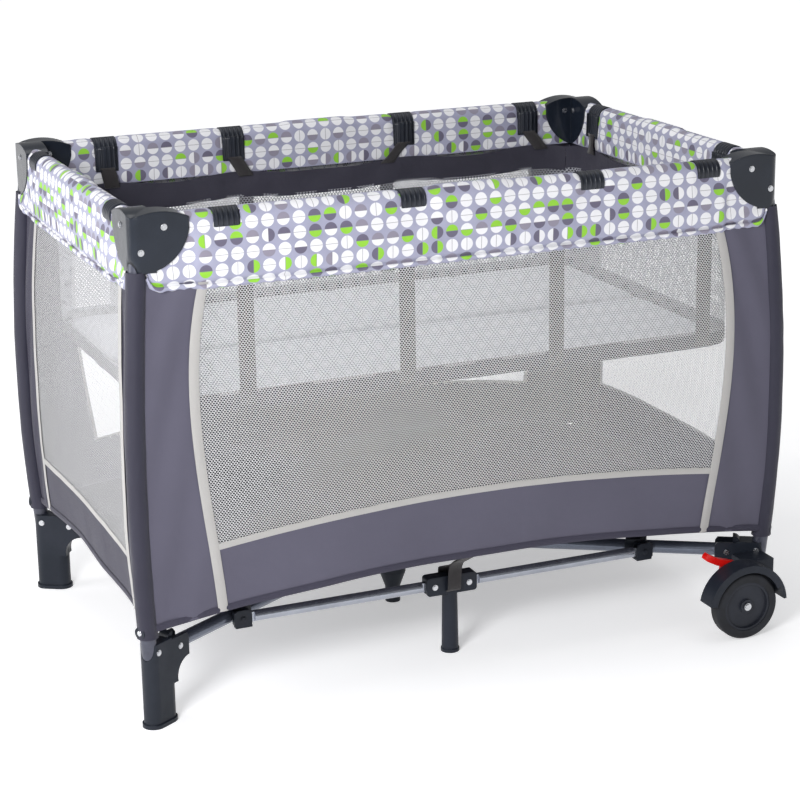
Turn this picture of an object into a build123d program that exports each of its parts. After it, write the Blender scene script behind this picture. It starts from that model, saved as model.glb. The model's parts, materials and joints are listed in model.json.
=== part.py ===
from build123d import *
import os
from math import atan2, cos, degrees, hypot, pi, sin

# Travel play yard with a hanging bassinet, built as a folding frame.
# Origin at the middle of the floor it stands on, +X along the long side, -Y is the front, +Z up.
# Everything that repeats at a corner is made once for the +X +Y corner and mirrored.

# ---- driving dimensions, in millimetres ----
CAP_FACE_X = 512.0            # outer faces of the corner caps
CAP_FACE_Y = 330.5
RAIL_X = 494.0                # planes that the short and the long rails fold in
RAIL_Y = 312.0
RAIL_Z = 739.0                # height of the top rails' axis
RAIL_RADIUS = 11.0
TUBE_WALL = 1.4

FOOT_POST_X = 505.0           # post axis where it enters the foot
FOOT_POST_Y = 310.0
POST_RADIUS = 12.0
POST_BOW_POINT = (517.0, 326.0, 420.0)
POST_TOP_Z = 738.0
POST_BOTTOM_Z = 84.0

BASE_Z = 112.0                # height of every pivot of the folding base
FOOT_PIVOT_OFFSET = 47.0      # from the post axis towards the hub
HUB_PIVOT_OFFSET = 34.0       # from the middle of the hub
DIAGONAL_RADIUS = 10.5
LOCK_PIVOT_X = 27.0           # from the middle of the lock on a long rail
LOCK_PIVOT_Y = 19.4           # and on a short rail
CLIP_SHARE = 0.285            # place of the clip along the diagonal tube, from the foot
SIDE_TUBE_RADIUS = 8.5
SIDE_TUBE_OFFSET = 24.0       # side tube beside the diagonal tube, at the clip

PIN_RADIUS = 3.0
PIN_CLEARANCE = 0.05
SLOT_CLEARANCE = 0.7
FORK_WALL = 3.6

WHEEL_X = 442.5
WHEEL_RADIUS = 54.0
TYRE_INNER_RADIUS = 40.0
WHEEL_Y0 = 366.0
WHEEL_Y1 = 390.0
GUARD_RADIUS = 69.0

# ---- sizes worked out from them ----
POST_REACH = hypot(FOOT_POST_X, FOOT_POST_Y)
UX = FOOT_POST_X / POST_REACH
UY = FOOT_POST_Y / POST_REACH
DIAGONAL_LENGTH = POST_REACH - FOOT_PIVOT_OFFSET - HUB_PIVOT_OFFSET
LONG_HALF = DIAGONAL_LENGTH * UX        # a half rail spans as much as the diagonal tube does
SHORT_HALF = DIAGONAL_LENGTH * UY
CAP_PIVOT_X = LOCK_PIVOT_X + LONG_HALF
CAP_PIVOT_Y = LOCK_PIVOT_Y + SHORT_HALF
CLIP_REACH = HUB_PIVOT_OFFSET + DIAGONAL_LENGTH * (1 - CLIP_SHARE)
CLIP_X = CLIP_REACH * UX
CLIP_Y = CLIP_REACH * UY
SIDE_TUBE_Y = CLIP_Y + SIDE_TUBE_OFFSET
MID_PIVOT_X = HUB_PIVOT_OFFSET * UX
FOOT_PIVOT_REACH = POST_REACH - FOOT_PIVOT_OFFSET

CORNERS = {"front_left": (-1, -1), "front_right": (1, -1), "rear_left": (-1, 1), "rear_right": (1, 1)}
ENDS = {"front": -1, "rear": 1}
SIDES = {"left": -1, "right": 1}

# along the diagonal outward, upward, and across it
DIAGONAL_PLANE = Plane(origin=(0, 0, 0), x_dir=(UX, UY, 0), z_dir=(UY, -UX, 0))
ACROSS = Vector(UY, -UX, 0)


# ---- helpers ----
def mirrored(shape, side_x, side_y):
    """A piece of the +X +Y corner, moved to another corner."""
    if side_x < 0:
        shape = mirror(shape, about=Plane.YZ)
    if side_y < 0:
        shape = mirror(shape, about=Plane.XZ)
    return shape


def save(name, *shapes):
    """One STEP file for one node, with each piece as a separate solid."""
    solids = [solid for shape in shapes for solid in shape.solids()]
    whole = solids[0] if len(solids) == 1 else Compound(solids)
    export_step(whole, f"parts/{name}.step")


def rod(start, end, radius):
    """A round bar between two points."""
    start, end = Vector(*start), Vector(*end)
    along = end - start
    return Solid.make_cylinder(radius, along.length, Plane(origin=start, z_dir=along))


def block(x0, x1, y0, y1, z0, z1):
    """A box given by its limits."""
    middle = ((x0 + x1) / 2, (y0 + y1) / 2, (z0 + z1) / 2)
    return Pos(*middle) * Box(x1 - x0, y1 - y0, z1 - z0)


def plate_xz(sketch, y0, y1):
    """An outline drawn in X and Z, given its thickness between two planes of Y."""
    plane = Plane(origin=(0, y1, 0), x_dir=(1, 0, 0), z_dir=(0, -1, 0))
    return extrude(plane * sketch, y1 - y0)


def plate_yz(sketch, x0, x1):
    """An outline drawn in Y and Z, given its thickness between two planes of X."""
    plane = Plane(origin=(x0, 0, 0), x_dir=(0, 1, 0), z_dir=(1, 0, 0))
    return extrude(plane * sketch, x1 - x0)


def diagonal_plate(sketch, inner, outer):
    """An outline drawn along the diagonal and upward, between two distances across it."""
    return extrude(DIAGONAL_PLANE.offset(inner) * sketch, outer - inner)


def on_diagonal(reach, z, across=0.0):
    """A point at a distance from the middle along the diagonal."""
    return (reach * UX + across * ACROSS.X, reach * UY + across * ACROSS.Y, z)


def rivet(centre, axis, grip, radius=PIN_RADIUS):
    """A pin with a domed head on both faces of what it holds."""
    axis = Vector(*axis).normalized()
    centre = Vector(*centre)
    head_radius = radius * 1.55
    head_height = radius * 0.7
    ends = [centre - axis * (grip / 2), centre + axis * (grip / 2)]
    shape = rod(ends[0], ends[1], radius)
    for end, outward in zip(ends, (axis * -1, axis)):
        disc = rod(end, end + outward * head_height * 0.4, head_radius)
        cap = rod(end + outward * head_height * 0.4, end + outward * head_height, head_radius * 0.72)
        shape = shape + disc + cap
    return shape


def hollow_tube(start, end, radius):
    return rod(start, end, radius) - rod(start, end, radius - TUBE_WALL)


def end_plug(centre, inward, radius, mouth):
    """A turned plug: a round nose over the pivot, then a stem that fits inside the tube."""
    stem = radius - TUBE_WALL
    nose = ThreePointArc((-radius, 0), (-radius * cos(pi / 4), radius * sin(pi / 4)), (0, radius))
    stem_end = mouth + 16
    corners = [(0, radius), (mouth, radius), (mouth, stem), (stem_end, stem), (stem_end, 0), (-radius, 0)]
    rest = Polyline(*corners)
    plane = Plane(origin=centre, x_dir=inward, z_dir=Vector(-inward.Y, inward.X, 0))
    return revolve(plane * make_face([nose, *rest.edges()]), Axis(centre, inward))


def pivoted_tube(start, end, radius, start_axis, end_axis):
    """A tube between two pivots, with a rounded plug in each end that takes the pin."""
    start, end = Vector(*start), Vector(*end)
    along = (end - start).normalized()
    mouth = radius * 0.8
    pieces = [hollow_tube(start + along * mouth, end - along * mouth, radius)]
    for centre, inward, axis in ((start, along, start_axis), (end, along * -1, end_axis)):
        axis = Vector(*axis).normalized()
        bore = rod(centre - axis * 2 * radius, centre + axis * 2 * radius, PIN_RADIUS + PIN_CLEARANCE)
        pieces.append(end_plug(centre, inward, radius, mouth) - bore)
    return pieces


# ---- corner: post, cap, foot and rivets ----
def post_path():
    top = (RAIL_X, RAIL_Y, POST_TOP_Z)
    bottom = (FOOT_POST_X, FOOT_POST_Y, POST_BOTTOM_Z)
    return ThreePointArc(top, POST_BOW_POINT, bottom)


def swept_post(radius):
    """A round bar along the bowed line of the corner post."""
    path = post_path()
    section = Plane(origin=path @ 0, z_dir=path % 0) * Circle(radius)
    return sweep(section, path=path)


def wing_outline(face, inner_end, bottom, top):
    """One side of a corner cap: upright outer edge, crowned top and a quarter-round lower edge."""
    line = Polyline((face - 9, bottom), (face, bottom), (face, top - 8))
    crown = ThreePointArc((face, top - 8), (inner_end + 30, top), (inner_end, top - 9))
    nose = Line((inner_end, top - 9), (inner_end, top - 26))
    sweep_edge = ThreePointArc((inner_end, top - 26), (inner_end + 25, bottom + 15), (face - 9, bottom))
    return make_face([*line.edges(), crown, nose, sweep_edge])


CAP_BOTTOM = 676.5
CAP_TOP = 760.0
CAP_WING = 85.0
CAP_DEPTH = 36.5
CAP_CEILING = RAIL_Z + RAIL_RADIUS + SLOT_CLEARANCE


def cap_rivets():
    """Pivots of both rails and the rivets that hold the post."""
    middle_y = CAP_FACE_Y - CAP_DEPTH / 2
    middle_x = CAP_FACE_X - CAP_DEPTH / 2
    post_z = 706.0
    return [
        rivet((CAP_PIVOT_X, middle_y, RAIL_Z), (0, 1, 0), CAP_DEPTH),
        rivet((middle_x, CAP_PIVOT_Y, RAIL_Z), (1, 0, 0), CAP_DEPTH),
        rivet((RAIL_X + 3, middle_y, post_z), (0, 1, 0), CAP_DEPTH),
    ]


def corner_cap(post, rivets):
    """The moulded elbow that joins the post and two rails."""
    front = wing_outline(CAP_FACE_X, CAP_FACE_X - CAP_WING, CAP_BOTTOM, CAP_TOP)
    side = wing_outline(CAP_FACE_Y, CAP_FACE_Y - CAP_WING, CAP_BOTTOM, CAP_TOP)
    cap = plate_xz(front, CAP_FACE_Y - CAP_DEPTH, CAP_FACE_Y)
    cap = cap + plate_yz(side, CAP_FACE_X - CAP_DEPTH, CAP_FACE_X)
    keep = block(300, CAP_FACE_X, 150, CAP_FACE_Y, 600, 800)
    upright = keep.edges().filter_by(Axis.Z).sort_by(lambda e: e.center().X + e.center().Y)[-1]
    cap = cap & fillet(upright, 16)
    half = RAIL_RADIUS + SLOT_CLEARANCE
    end_gap = RAIL_RADIUS + 1.0
    cap = cap - block(380, CAP_PIVOT_X + end_gap, RAIL_Y - half, RAIL_Y + half, 600, CAP_CEILING)
    cap = cap - block(RAIL_X - half, RAIL_X + half, 200, CAP_PIVOT_Y + end_gap, 600, CAP_CEILING)
    for piece in [post, *rivets]:
        cap = cap - piece
    return cap


FOOT_TOP = 130.0
FOOT_HALF_WIDTH = 15.0
FOOT_COLUMN_INNER = 40.0      # column reaches this far from the post axis towards the hub
FOOT_ARM_END = 66.0
WHEEL_HOUSING_BOTTOM = 78.0


def foot_rivets():
    grip = 2 * FOOT_HALF_WIDTH
    return [
        rivet(on_diagonal(FOOT_PIVOT_REACH, BASE_Z), ACROSS, grip),
        rivet(on_diagonal(POST_REACH, 117), ACROSS, grip),
    ]


def foot_body(bottom):
    """The foot casting: a stadium column round the post, with an arm that forks round the tube."""
    column = rod(on_diagonal(POST_REACH, bottom), on_diagonal(POST_REACH, FOOT_TOP), FOOT_HALF_WIDTH)
    inner = POST_REACH - FOOT_COLUMN_INNER + FOOT_HALF_WIDTH
    column = column + rod(on_diagonal(inner, bottom), on_diagonal(inner, FOOT_TOP), FOOT_HALF_WIDTH)
    flank = Polyline(
        (inner, bottom), (POST_REACH, bottom), (POST_REACH, FOOT_TOP), (inner, FOOT_TOP), close=True
    )
    column = column + diagonal_plate(make_face(flank.edges()), -FOOT_HALF_WIDTH, FOOT_HALF_WIDTH)
    arm_end = POST_REACH - FOOT_ARM_END
    arm_bottom = BASE_Z - 19
    root = POST_REACH - FOOT_COLUMN_INNER
    outline = Polyline((inner, arm_bottom - 34), (inner, FOOT_TOP - 2), (arm_end + 4, FOOT_TOP - 2),
                       (arm_end, FOOT_TOP - 8), (arm_end, arm_bottom))
    hollow = ThreePointArc((arm_end, arm_bottom), (root - 6, arm_bottom - 10), (root, arm_bottom - 34))
    close_off = Line((root, arm_bottom - 34), (inner, arm_bottom - 34))
    arm = diagonal_plate(make_face([*outline.edges(), hollow, close_off]), -FOOT_HALF_WIDTH, FOOT_HALF_WIDTH)
    lug = diagonal_plate(Pos(root + 4, FOOT_TOP - 3) * Circle(10), -9, 9)
    foot = column + arm + lug
    half = DIAGONAL_RADIUS + SLOT_CLEARANCE
    slot_outer = FOOT_PIVOT_REACH + DIAGONAL_RADIUS + 1.0
    slot = Polyline((slot_outer, BASE_Z - half - 1), (slot_outer, BASE_Z), (slot_outer - 3.4, FOOT_TOP + 20),
                    (arm_end - 30, FOOT_TOP + 20), (arm_end - 30, BASE_Z - half - 1), close=True)
    return foot - diagonal_plate(make_face(slot.edges()), -half, half)


def standing_foot():
    """The foot of the two corners without wheels: it reaches the floor, with a flanged base."""
    inner = POST_REACH - FOOT_COLUMN_INNER + FOOT_HALF_WIDTH
    lip = FOOT_HALF_WIDTH + 2.5
    lip_height = 6.0
    base = rod(on_diagonal(POST_REACH, 0), on_diagonal(POST_REACH, lip_height), lip)
    base = base + rod(on_diagonal(inner, 0), on_diagonal(inner, lip_height), lip)
    flank = Polyline((inner, 0), (POST_REACH, 0), (POST_REACH, lip_height), (inner, lip_height), close=True)
    base = base + diagonal_plate(make_face(flank.edges()), -lip, lip)
    hollow = rod(on_diagonal(inner, -1), on_diagonal(inner, 60), FOOT_HALF_WIDTH - 4)
    return foot_body(0) + base - hollow


AXLE_Y0 = 356.0
GUARD_Y0 = 360.0
GUARD_Y1 = 394.0
LEVER_Y0 = 346.0
LEVER_Y1 = 357.0
LEVER_PIVOT = (434.0, 112.0)


def ring_sector(outer, inner, start, end):
    """An arc-shaped band round the wheel axis, between two angles from +X."""
    steps = 3
    centre = Vector(WHEEL_X, WHEEL_RADIUS)
    angles = [(start + (end - start) * n / (steps - 1)) * pi / 180 for n in range(steps)]
    outside = [centre + Vector(cos(a), sin(a)) * outer for a in angles]
    inside = [centre + Vector(cos(a), sin(a)) * inner for a in reversed(angles)]
    outline = [ThreePointArc(*outside), Line(outside[-1], inside[0]),
               ThreePointArc(*inside), Line(inside[-1], outside[0])]
    return make_face(outline)


def wheel_foot():
    """The foot of the two corners with wheels: it carries the wheel's guard on a bracket."""
    bracket = block(455, 506, 318, GUARD_Y0 + 1, 84, 116)
    shell = plate_xz(ring_sector(GUARD_RADIUS, GUARD_RADIUS - 4.5, 4, 171), GUARD_Y0, GUARD_Y1)
    flange = plate_xz(ring_sector(GUARD_RADIUS, GUARD_RADIUS - 12, 24, 171), GUARD_Y1 - 2.5, GUARD_Y1)
    back = plate_xz(ring_sector(GUARD_RADIUS - 4, 12, 4, 171), GUARD_Y0, GUARD_Y0 + 3.5)
    boss = rod((WHEEL_X, AXLE_Y0, WHEEL_RADIUS), (WHEEL_X, GUARD_Y0 + 3.5, WHEEL_RADIUS), 13.5)
    return foot_body(WHEEL_HOUSING_BOTTOM) + bracket + shell + flange + back + boss


def wheel_pins():
    """The wheel's axle and the brake lever's pin."""
    grip = WHEEL_Y1 - AXLE_Y0
    axle_middle = (WHEEL_X, AXLE_Y0 + grip / 2, WHEEL_RADIUS)
    lever_x, lever_z = LEVER_PIVOT
    lever_grip = GUARD_Y0 + 2 - LEVER_Y0
    return [
        rivet(axle_middle, (0, 1, 0), grip + 0.6, 4.0),
        rod((lever_x, LEVER_Y0 - 0.5, lever_z), (lever_x, LEVER_Y0 - 0.5 + lever_grip, lever_z), 2.5)
        + rod((lever_x, LEVER_Y0 - 2.5, lever_z), (lever_x, LEVER_Y0 - 0.5, lever_z), 4.2),
    ]


def hem_anchor(post):
    """The small moulded tab on the post, above the foot, that holds the fabric's hem."""
    z = 151.0
    outward = Vector(UX, UY, 0)
    start = Vector(FOOT_POST_X, FOOT_POST_Y, z) + outward * POST_RADIUS
    return rod(start, start + outward * 10.0, 9.0) - post


def make_corner(name, side_x, side_y):
    post_bar = swept_post(POST_RADIUS)
    post = post_bar - swept_post(POST_RADIUS - TUBE_WALL)
    top_rivets, low_rivets = cap_rivets(), foot_rivets()
    for piece in [top_rivets[2], low_rivets[1]]:
        post = post - piece
    cap = corner_cap(post_bar, top_rivets)
    pins = wheel_pins() if side_x > 0 else []
    foot = wheel_foot() if side_x > 0 else standing_foot()
    for piece in [post_bar, *low_rivets, *pins]:
        foot = foot - piece
    anchor = hem_anchor(post_bar)
    save(f"post_{name}", mirrored(post, side_x, side_y))
    save(f"cap_{name}", mirrored(cap, side_x, side_y))
    save(f"foot_{name}", mirrored(foot, side_x, side_y), mirrored(anchor, side_x, side_y))
    save(f"rivets_{name}", *[mirrored(p, side_x, side_y) for p in top_rivets + low_rivets + pins])


# ---- wheels and brake levers ----
def make_wheel(name, side_y):
    def turned(radius, y0, y1):
        return rod((WHEEL_X, y0, WHEEL_RADIUS), (WHEEL_X, y1, WHEEL_RADIUS), radius)

    bore = turned(4.0 + PIN_CLEARANCE, WHEEL_Y0 - 5, WHEEL_Y1 + 5)
    tyre = turned(WHEEL_RADIUS, WHEEL_Y0, WHEEL_Y1)
    tread = tyre.edges().filter_by(GeomType.CIRCLE)
    tyre = fillet(tread, 5) - turned(TYRE_INNER_RADIUS, WHEEL_Y0 - 1, WHEEL_Y1 + 1)
    disc = turned(TYRE_INNER_RADIUS, WHEEL_Y0 + 1, WHEEL_Y1 - 1)
    dish = turned(TYRE_INNER_RADIUS - 4, WHEEL_Y1 - 5, WHEEL_Y1)
    disc = disc - (dish - turned(11, WHEEL_Y1 - 6, WHEEL_Y1 + 1))
    disc = disc - (turned(TYRE_INNER_RADIUS - 5, WHEEL_Y0, WHEEL_Y0 + 9) - turned(11, WHEEL_Y0, WHEEL_Y0 + 10))
    save(f"wheel_disc_{name}", mirrored(disc - bore, 1, side_y))
    save(f"tyre_{name}", mirrored(tyre, 1, side_y))


def make_brake_lever(name, side_y):
    """A foot lever: a pad that reaches out past the guard, on an arm that turns on its pin."""
    x, z = LEVER_PIVOT
    pad = Polyline((x - 49, z + 24), (x - 45, z + 27), (x - 26, z + 16), (x - 6, z + 10), (x + 6, z + 6),
                   (x + 6, z - 5), (x - 6, z - 6), (x - 15, z - 11), (x - 20, z - 9), (x - 18, z + 2),
                   (x - 30, z + 6), (x - 47, z + 15), (x - 51, z + 19), close=True)
    lever = plate_xz(make_face(pad.edges()), LEVER_Y0, LEVER_Y1)
    lever = lever - rod((x, LEVER_Y0 - 5, z), (x, LEVER_Y1 + 5, z), 2.5 + PIN_CLEARANCE)
    save(f"brake_lever_{name}", mirrored(lever, 1, side_y))


# ---- top rails, their locks and release buttons ----
CLIP_LENGTH = 38.0
CLIP_OUTER = 17.5
LONG_CLIPS = {"front": (-372, -92, 194, 390), "rear": (-369, -152, 155, 390)}
SHORT_CLIP_Y = 212.0


def rail_clip(centre, along):
    """A moulded C-shaped clip that snaps over a rail and carries the bassinet's webbing."""
    centre, along = Vector(*centre), Vector(*along)
    ends = [centre - along * (CLIP_LENGTH / 2), centre + along * (CLIP_LENGTH / 2)]
    ring = rod(*ends, CLIP_OUTER) - rod(*ends, RAIL_RADIUS + 0.2)
    across = Vector(along.Y, along.X, 0)
    size = [
        abs(along.X) * 2 * CLIP_LENGTH + abs(across.X) * 14,
        abs(along.Y) * 2 * CLIP_LENGTH + abs(across.Y) * 14,
    ]
    mouth = Pos(centre.X, centre.Y, centre.Z - CLIP_OUTER) * Box(size[0], size[1], 2 * CLIP_OUTER - 8)
    return ring - mouth


def make_long_rail(end, side):
    side_x, side_y = SIDES[side], ENDS[end]
    start = (CAP_PIVOT_X, RAIL_Y, RAIL_Z)
    stop = (LOCK_PIVOT_X, RAIL_Y, RAIL_Z)
    pieces = pivoted_tube(start, stop, RAIL_RADIUS, (0, 1, 0), (0, 1, 0))
    pieces = [mirrored(piece, side_x, side_y) for piece in pieces]
    for clip_x in LONG_CLIPS[end]:
        if clip_x * side_x > 0:
            pieces.append(rail_clip((clip_x, RAIL_Y * side_y, RAIL_Z), (1, 0, 0)))
    save(f"rail_{end}_{side}", *pieces)


def make_short_rail(end, side):
    side_x, side_y = SIDES[side], ENDS[end]
    start = (RAIL_X, CAP_PIVOT_Y, RAIL_Z)
    stop = (RAIL_X, LOCK_PIVOT_Y, RAIL_Z)
    pieces = pivoted_tube(start, stop, RAIL_RADIUS, (1, 0, 0), (1, 0, 0))
    pieces.append(rail_clip((RAIL_X, SHORT_CLIP_Y, RAIL_Z), (0, 1, 0)))
    pieces = [mirrored(piece, side_x, side_y) for piece in pieces]
    save(f"rail_{side}_{end}", *pieces)


LOCK_LENGTH = 44.0            # half of the housing, on a long rail
LOCK_HALF_WIDTH = 15.5
LOCK_BOTTOM = RAIL_Z - 16.5
LOCK_TOP = RAIL_Z + 13.0
BUTTON_RADIUS = 8.0
BUTTON_PROUD = 4.0


def rail_lock(pivot, length):
    """The lock housing in the middle of a rail, drawn along X, with a fork for each half rail."""
    body = block(-length, length, -LOCK_HALF_WIDTH, LOCK_HALF_WIDTH, LOCK_BOTTOM, LOCK_TOP)
    body = fillet(body.edges().filter_by(Axis.X), 4)
    half = RAIL_RADIUS + SLOT_CLEARANCE
    pins = []
    for side in (-1, 1):
        near, far = sorted((side * (pivot - RAIL_RADIUS - 1), side * (length + 5)))
        body = body - block(near, far, -half, half, RAIL_Z - half, LOCK_TOP + 5)
        pins.append(rivet((side * pivot, 0, RAIL_Z), (0, 1, 0), 2 * LOCK_HALF_WIDTH - 2.4))
    middle = pivot - RAIL_RADIUS - 2.2
    radius = min(BUTTON_RADIUS, middle)
    body = body - rod((0, 0, LOCK_BOTTOM - 1), (0, 0, LOCK_BOTTOM + 14), radius + PIN_CLEARANCE)
    for pin in pins:
        body = body - pin
    button = rod((0, 0, LOCK_BOTTOM - BUTTON_PROUD), (0, 0, LOCK_BOTTOM + 8), radius)
    button = fillet(button.edges().sort_by(Axis.Z)[0], 1.5)
    return body, pins, button


def make_locks():
    body, pins, button = rail_lock(LOCK_PIVOT_X, LOCK_LENGTH)
    for end, side_y in ENDS.items():
        place = Pos(0, side_y * RAIL_Y, 0)
        save(f"lock_{end}", place * body, *[place * pin for pin in pins])
        save(f"lock_button_{end}", place * button)
    body, pins, button = rail_lock(LOCK_PIVOT_Y, LOCK_LENGTH - 8)
    for side, side_x in SIDES.items():
        place = Pos(side_x * RAIL_X, 0, 0) * Rot(0, 0, 90)
        save(f"lock_{side}", place * body, *[place * pin for pin in pins])
        save(f"lock_button_{side}", place * button)


# ---- folding base ----
def make_diagonal(name, side_x, side_y):
    start = on_diagonal(FOOT_PIVOT_REACH, BASE_Z)
    stop = on_diagonal(HUB_PIVOT_OFFSET, BASE_Z)
    pieces = pivoted_tube(start, stop, DIAGONAL_RADIUS, ACROSS, ACROSS)
    clip_point = Vector(*on_diagonal(CLIP_REACH, BASE_Z))
    bore = rod(clip_point - ACROSS * 20, clip_point + ACROSS * 20, PIN_RADIUS + PIN_CLEARANCE)
    pieces[0] = pieces[0] - bore
    save(f"diagonal_tube_{name}", *[mirrored(piece, side_x, side_y) for piece in pieces])


HUB_RADIUS = 22.0
HUB_TOP = BASE_Z + DIAGONAL_RADIUS + 5.0
HUB_ARM_REACH = 52.0
HUB_ARM_BOTTOM = BASE_Z - 13.0


def make_hub():
    """The hub that all four diagonal tubes fold on, with its own foot in the middle."""
    core_bottom, neck_z, neck_radius = 52.0, 26.0, 12.5
    hub = rod((0, 0, core_bottom), (0, 0, HUB_TOP), HUB_RADIUS)
    cone = Solid.make_cone(neck_radius, HUB_RADIUS, core_bottom - neck_z, Plane(origin=(0, 0, neck_z)))
    hub = hub + cone + rod((0, 0, 0), (0, 0, neck_z), neck_radius)
    half = DIAGONAL_RADIUS + SLOT_CLEARANCE
    outer = half + FORK_WALL
    arm = Polyline((0, HUB_ARM_BOTTOM), (HUB_ARM_REACH, HUB_ARM_BOTTOM), (HUB_ARM_REACH, HUB_TOP),
                   (0, HUB_TOP), close=True)
    slot_inner = HUB_PIVOT_OFFSET - DIAGONAL_RADIUS - 0.6
    slot = Polyline((slot_inner, HUB_ARM_BOTTOM - 5), (HUB_ARM_REACH + 20, HUB_ARM_BOTTOM - 5),
                    (HUB_ARM_REACH + 20, BASE_Z + half), (slot_inner, BASE_Z + half), close=True)
    arm_solid = diagonal_plate(make_face(arm.edges()), -outer, outer)
    slot_solid = diagonal_plate(make_face(slot.edges()), -half, half)
    pins = []
    for side_x, side_y in CORNERS.values():
        hub = hub + mirrored(arm_solid, side_x, side_y)
    for side_x, side_y in CORNERS.values():
        hub = hub - mirrored(slot_solid, side_x, side_y)
        pin = rivet(on_diagonal(HUB_PIVOT_OFFSET, BASE_Z), ACROSS, 2 * outer)
        pins.append(mirrored(pin, side_x, side_y))
    for pin in pins:
        hub = hub - pin
    save("hub", hub, *pins)


TONGUE_HALF = 4.0
TONGUE_RADIUS = 7.5
TONGUE_REACH = 19.0
EAR_GAP = TONGUE_HALF + 0.4
EAR_OUTER = EAR_GAP + 3.4


def make_side_tube(end, side):
    """A side tube with flattened, rounded ends that pivot in the clip and on the middle leg."""
    y = SIDE_TUBE_Y
    tube_start = (MID_PIVOT_X + TONGUE_REACH, y, BASE_Z)
    tube_end = (CLIP_X - TONGUE_REACH, y, BASE_Z)
    tube = hollow_tube(tube_start, tube_end, SIDE_TUBE_RADIUS)
    pieces = [tube]
    for centre, inward in ((MID_PIVOT_X, 1), (CLIP_X, -1)):
        near, far = sorted((centre, centre + inward * TONGUE_REACH))
        y0, y1 = y - TONGUE_HALF, y + TONGUE_HALF
        tongue = block(near, far, y0, y1, BASE_Z - TONGUE_RADIUS, BASE_Z + TONGUE_RADIUS)
        tongue = tongue + rod((centre, y0, BASE_Z), (centre, y1, BASE_Z), TONGUE_RADIUS)
        plug_start = centre + inward * TONGUE_REACH
        plug_end = plug_start + inward * 14
        plug = rod((plug_start, y, BASE_Z), (plug_end, y, BASE_Z), SIDE_TUBE_RADIUS - TUBE_WALL)
        bore = rod((centre, y - 10, BASE_Z), (centre, y + 10, BASE_Z), PIN_RADIUS + PIN_CLEARANCE)
        pieces.append(tongue + plug - bore)
    save(f"side_tube_{end}_{side}", *[mirrored(piece, SIDES[side], ENDS[end]) for piece in pieces])


def make_base_clip(name, side_x, side_y):
    """The clip on a diagonal tube: a clevis round that tube, with a fork for the side tube."""
    inner = DIAGONAL_RADIUS + 0.5
    outer = inner + 3.6
    half_length, half_height, bridge = 17.0, 15.5, 8.0
    reach = CLIP_REACH
    cheek = Polyline((reach - half_length, BASE_Z - half_height), (reach + half_length, BASE_Z - half_height),
                     (reach + half_length, BASE_Z + half_height), (reach - half_length, BASE_Z + half_height),
                     close=True)
    cheek = fillet(make_face(cheek.edges()).vertices(), 5)
    body = diagonal_plate(cheek, inner, outer) + diagonal_plate(cheek, -outer, -inner)
    strip = Rectangle(half_length - bridge, 2.8)
    strip_offset = (bridge + half_length) / 2
    roof = Pos(reach + strip_offset, BASE_Z + half_height - 1.4) * strip
    sill = Pos(reach - strip_offset, BASE_Z - half_height + 1.4) * strip
    ear = Pos(CLIP_X, BASE_Z) * RectangleRounded(28, 28, 8)
    y = SIDE_TUBE_Y
    ears = plate_xz(ear, y - EAR_OUTER, y - EAR_GAP) + plate_xz(ear, y + EAR_GAP, y + EAR_OUTER)
    web_start = CLIP_X + TONGUE_RADIUS + 0.8
    web = block(web_start, CLIP_X + 14, y - EAR_OUTER - 4, y + EAR_OUTER, BASE_Z - 9, BASE_Z + 11)
    shelf = block(CLIP_X - 14, CLIP_X + 12, y - EAR_OUTER - 2, y + EAR_OUTER, BASE_Z - 14, BASE_Z - 10)
    sweep_room = diagonal_plate(Pos(reach, BASE_Z) * Rectangle(120, 80), -inner, inner)
    tongue_room = block(CLIP_X - 40, web_start, y - EAR_GAP, y + EAR_GAP, BASE_Z - 10, BASE_Z + 20)
    body = body + (ears + web + shelf - sweep_room) - tongue_room
    body = body + diagonal_plate(roof, -outer, outer) + diagonal_plate(sill, -outer, outer)
    cross_pin = rivet(on_diagonal(reach, BASE_Z), ACROSS, 2 * outer)
    side_pin = rivet((CLIP_X, y, BASE_Z), (0, 1, 0), 2 * EAR_OUTER)
    body = body - cross_pin - side_pin
    trim = rod((CLIP_X, y - EAR_OUTER - 2.8, BASE_Z), (CLIP_X, y - EAR_OUTER, BASE_Z), PIN_RADIUS * 2)
    side_pin = side_pin - trim
    inner_head = block(CLIP_X - 9, CLIP_X + 9, y - EAR_OUTER - 4, y - EAR_OUTER, BASE_Z - 9, BASE_Z + 9)
    cross_pin = cross_pin - inner_head
    pieces = [body, cross_pin, side_pin]
    save(f"base_clip_{name}", *[mirrored(piece, side_x, side_y) for piece in pieces])


LEG_TOP_RADIUS = 12.0
LEG_FOOT_RADIUS = 13.5
BRACKET_HALF_LENGTH = 42.0
BRACKET_HALF_WIDTH = 10.5
BRACKET_BOTTOM = 98.0
BRACKET_TOP = 128.0


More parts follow.
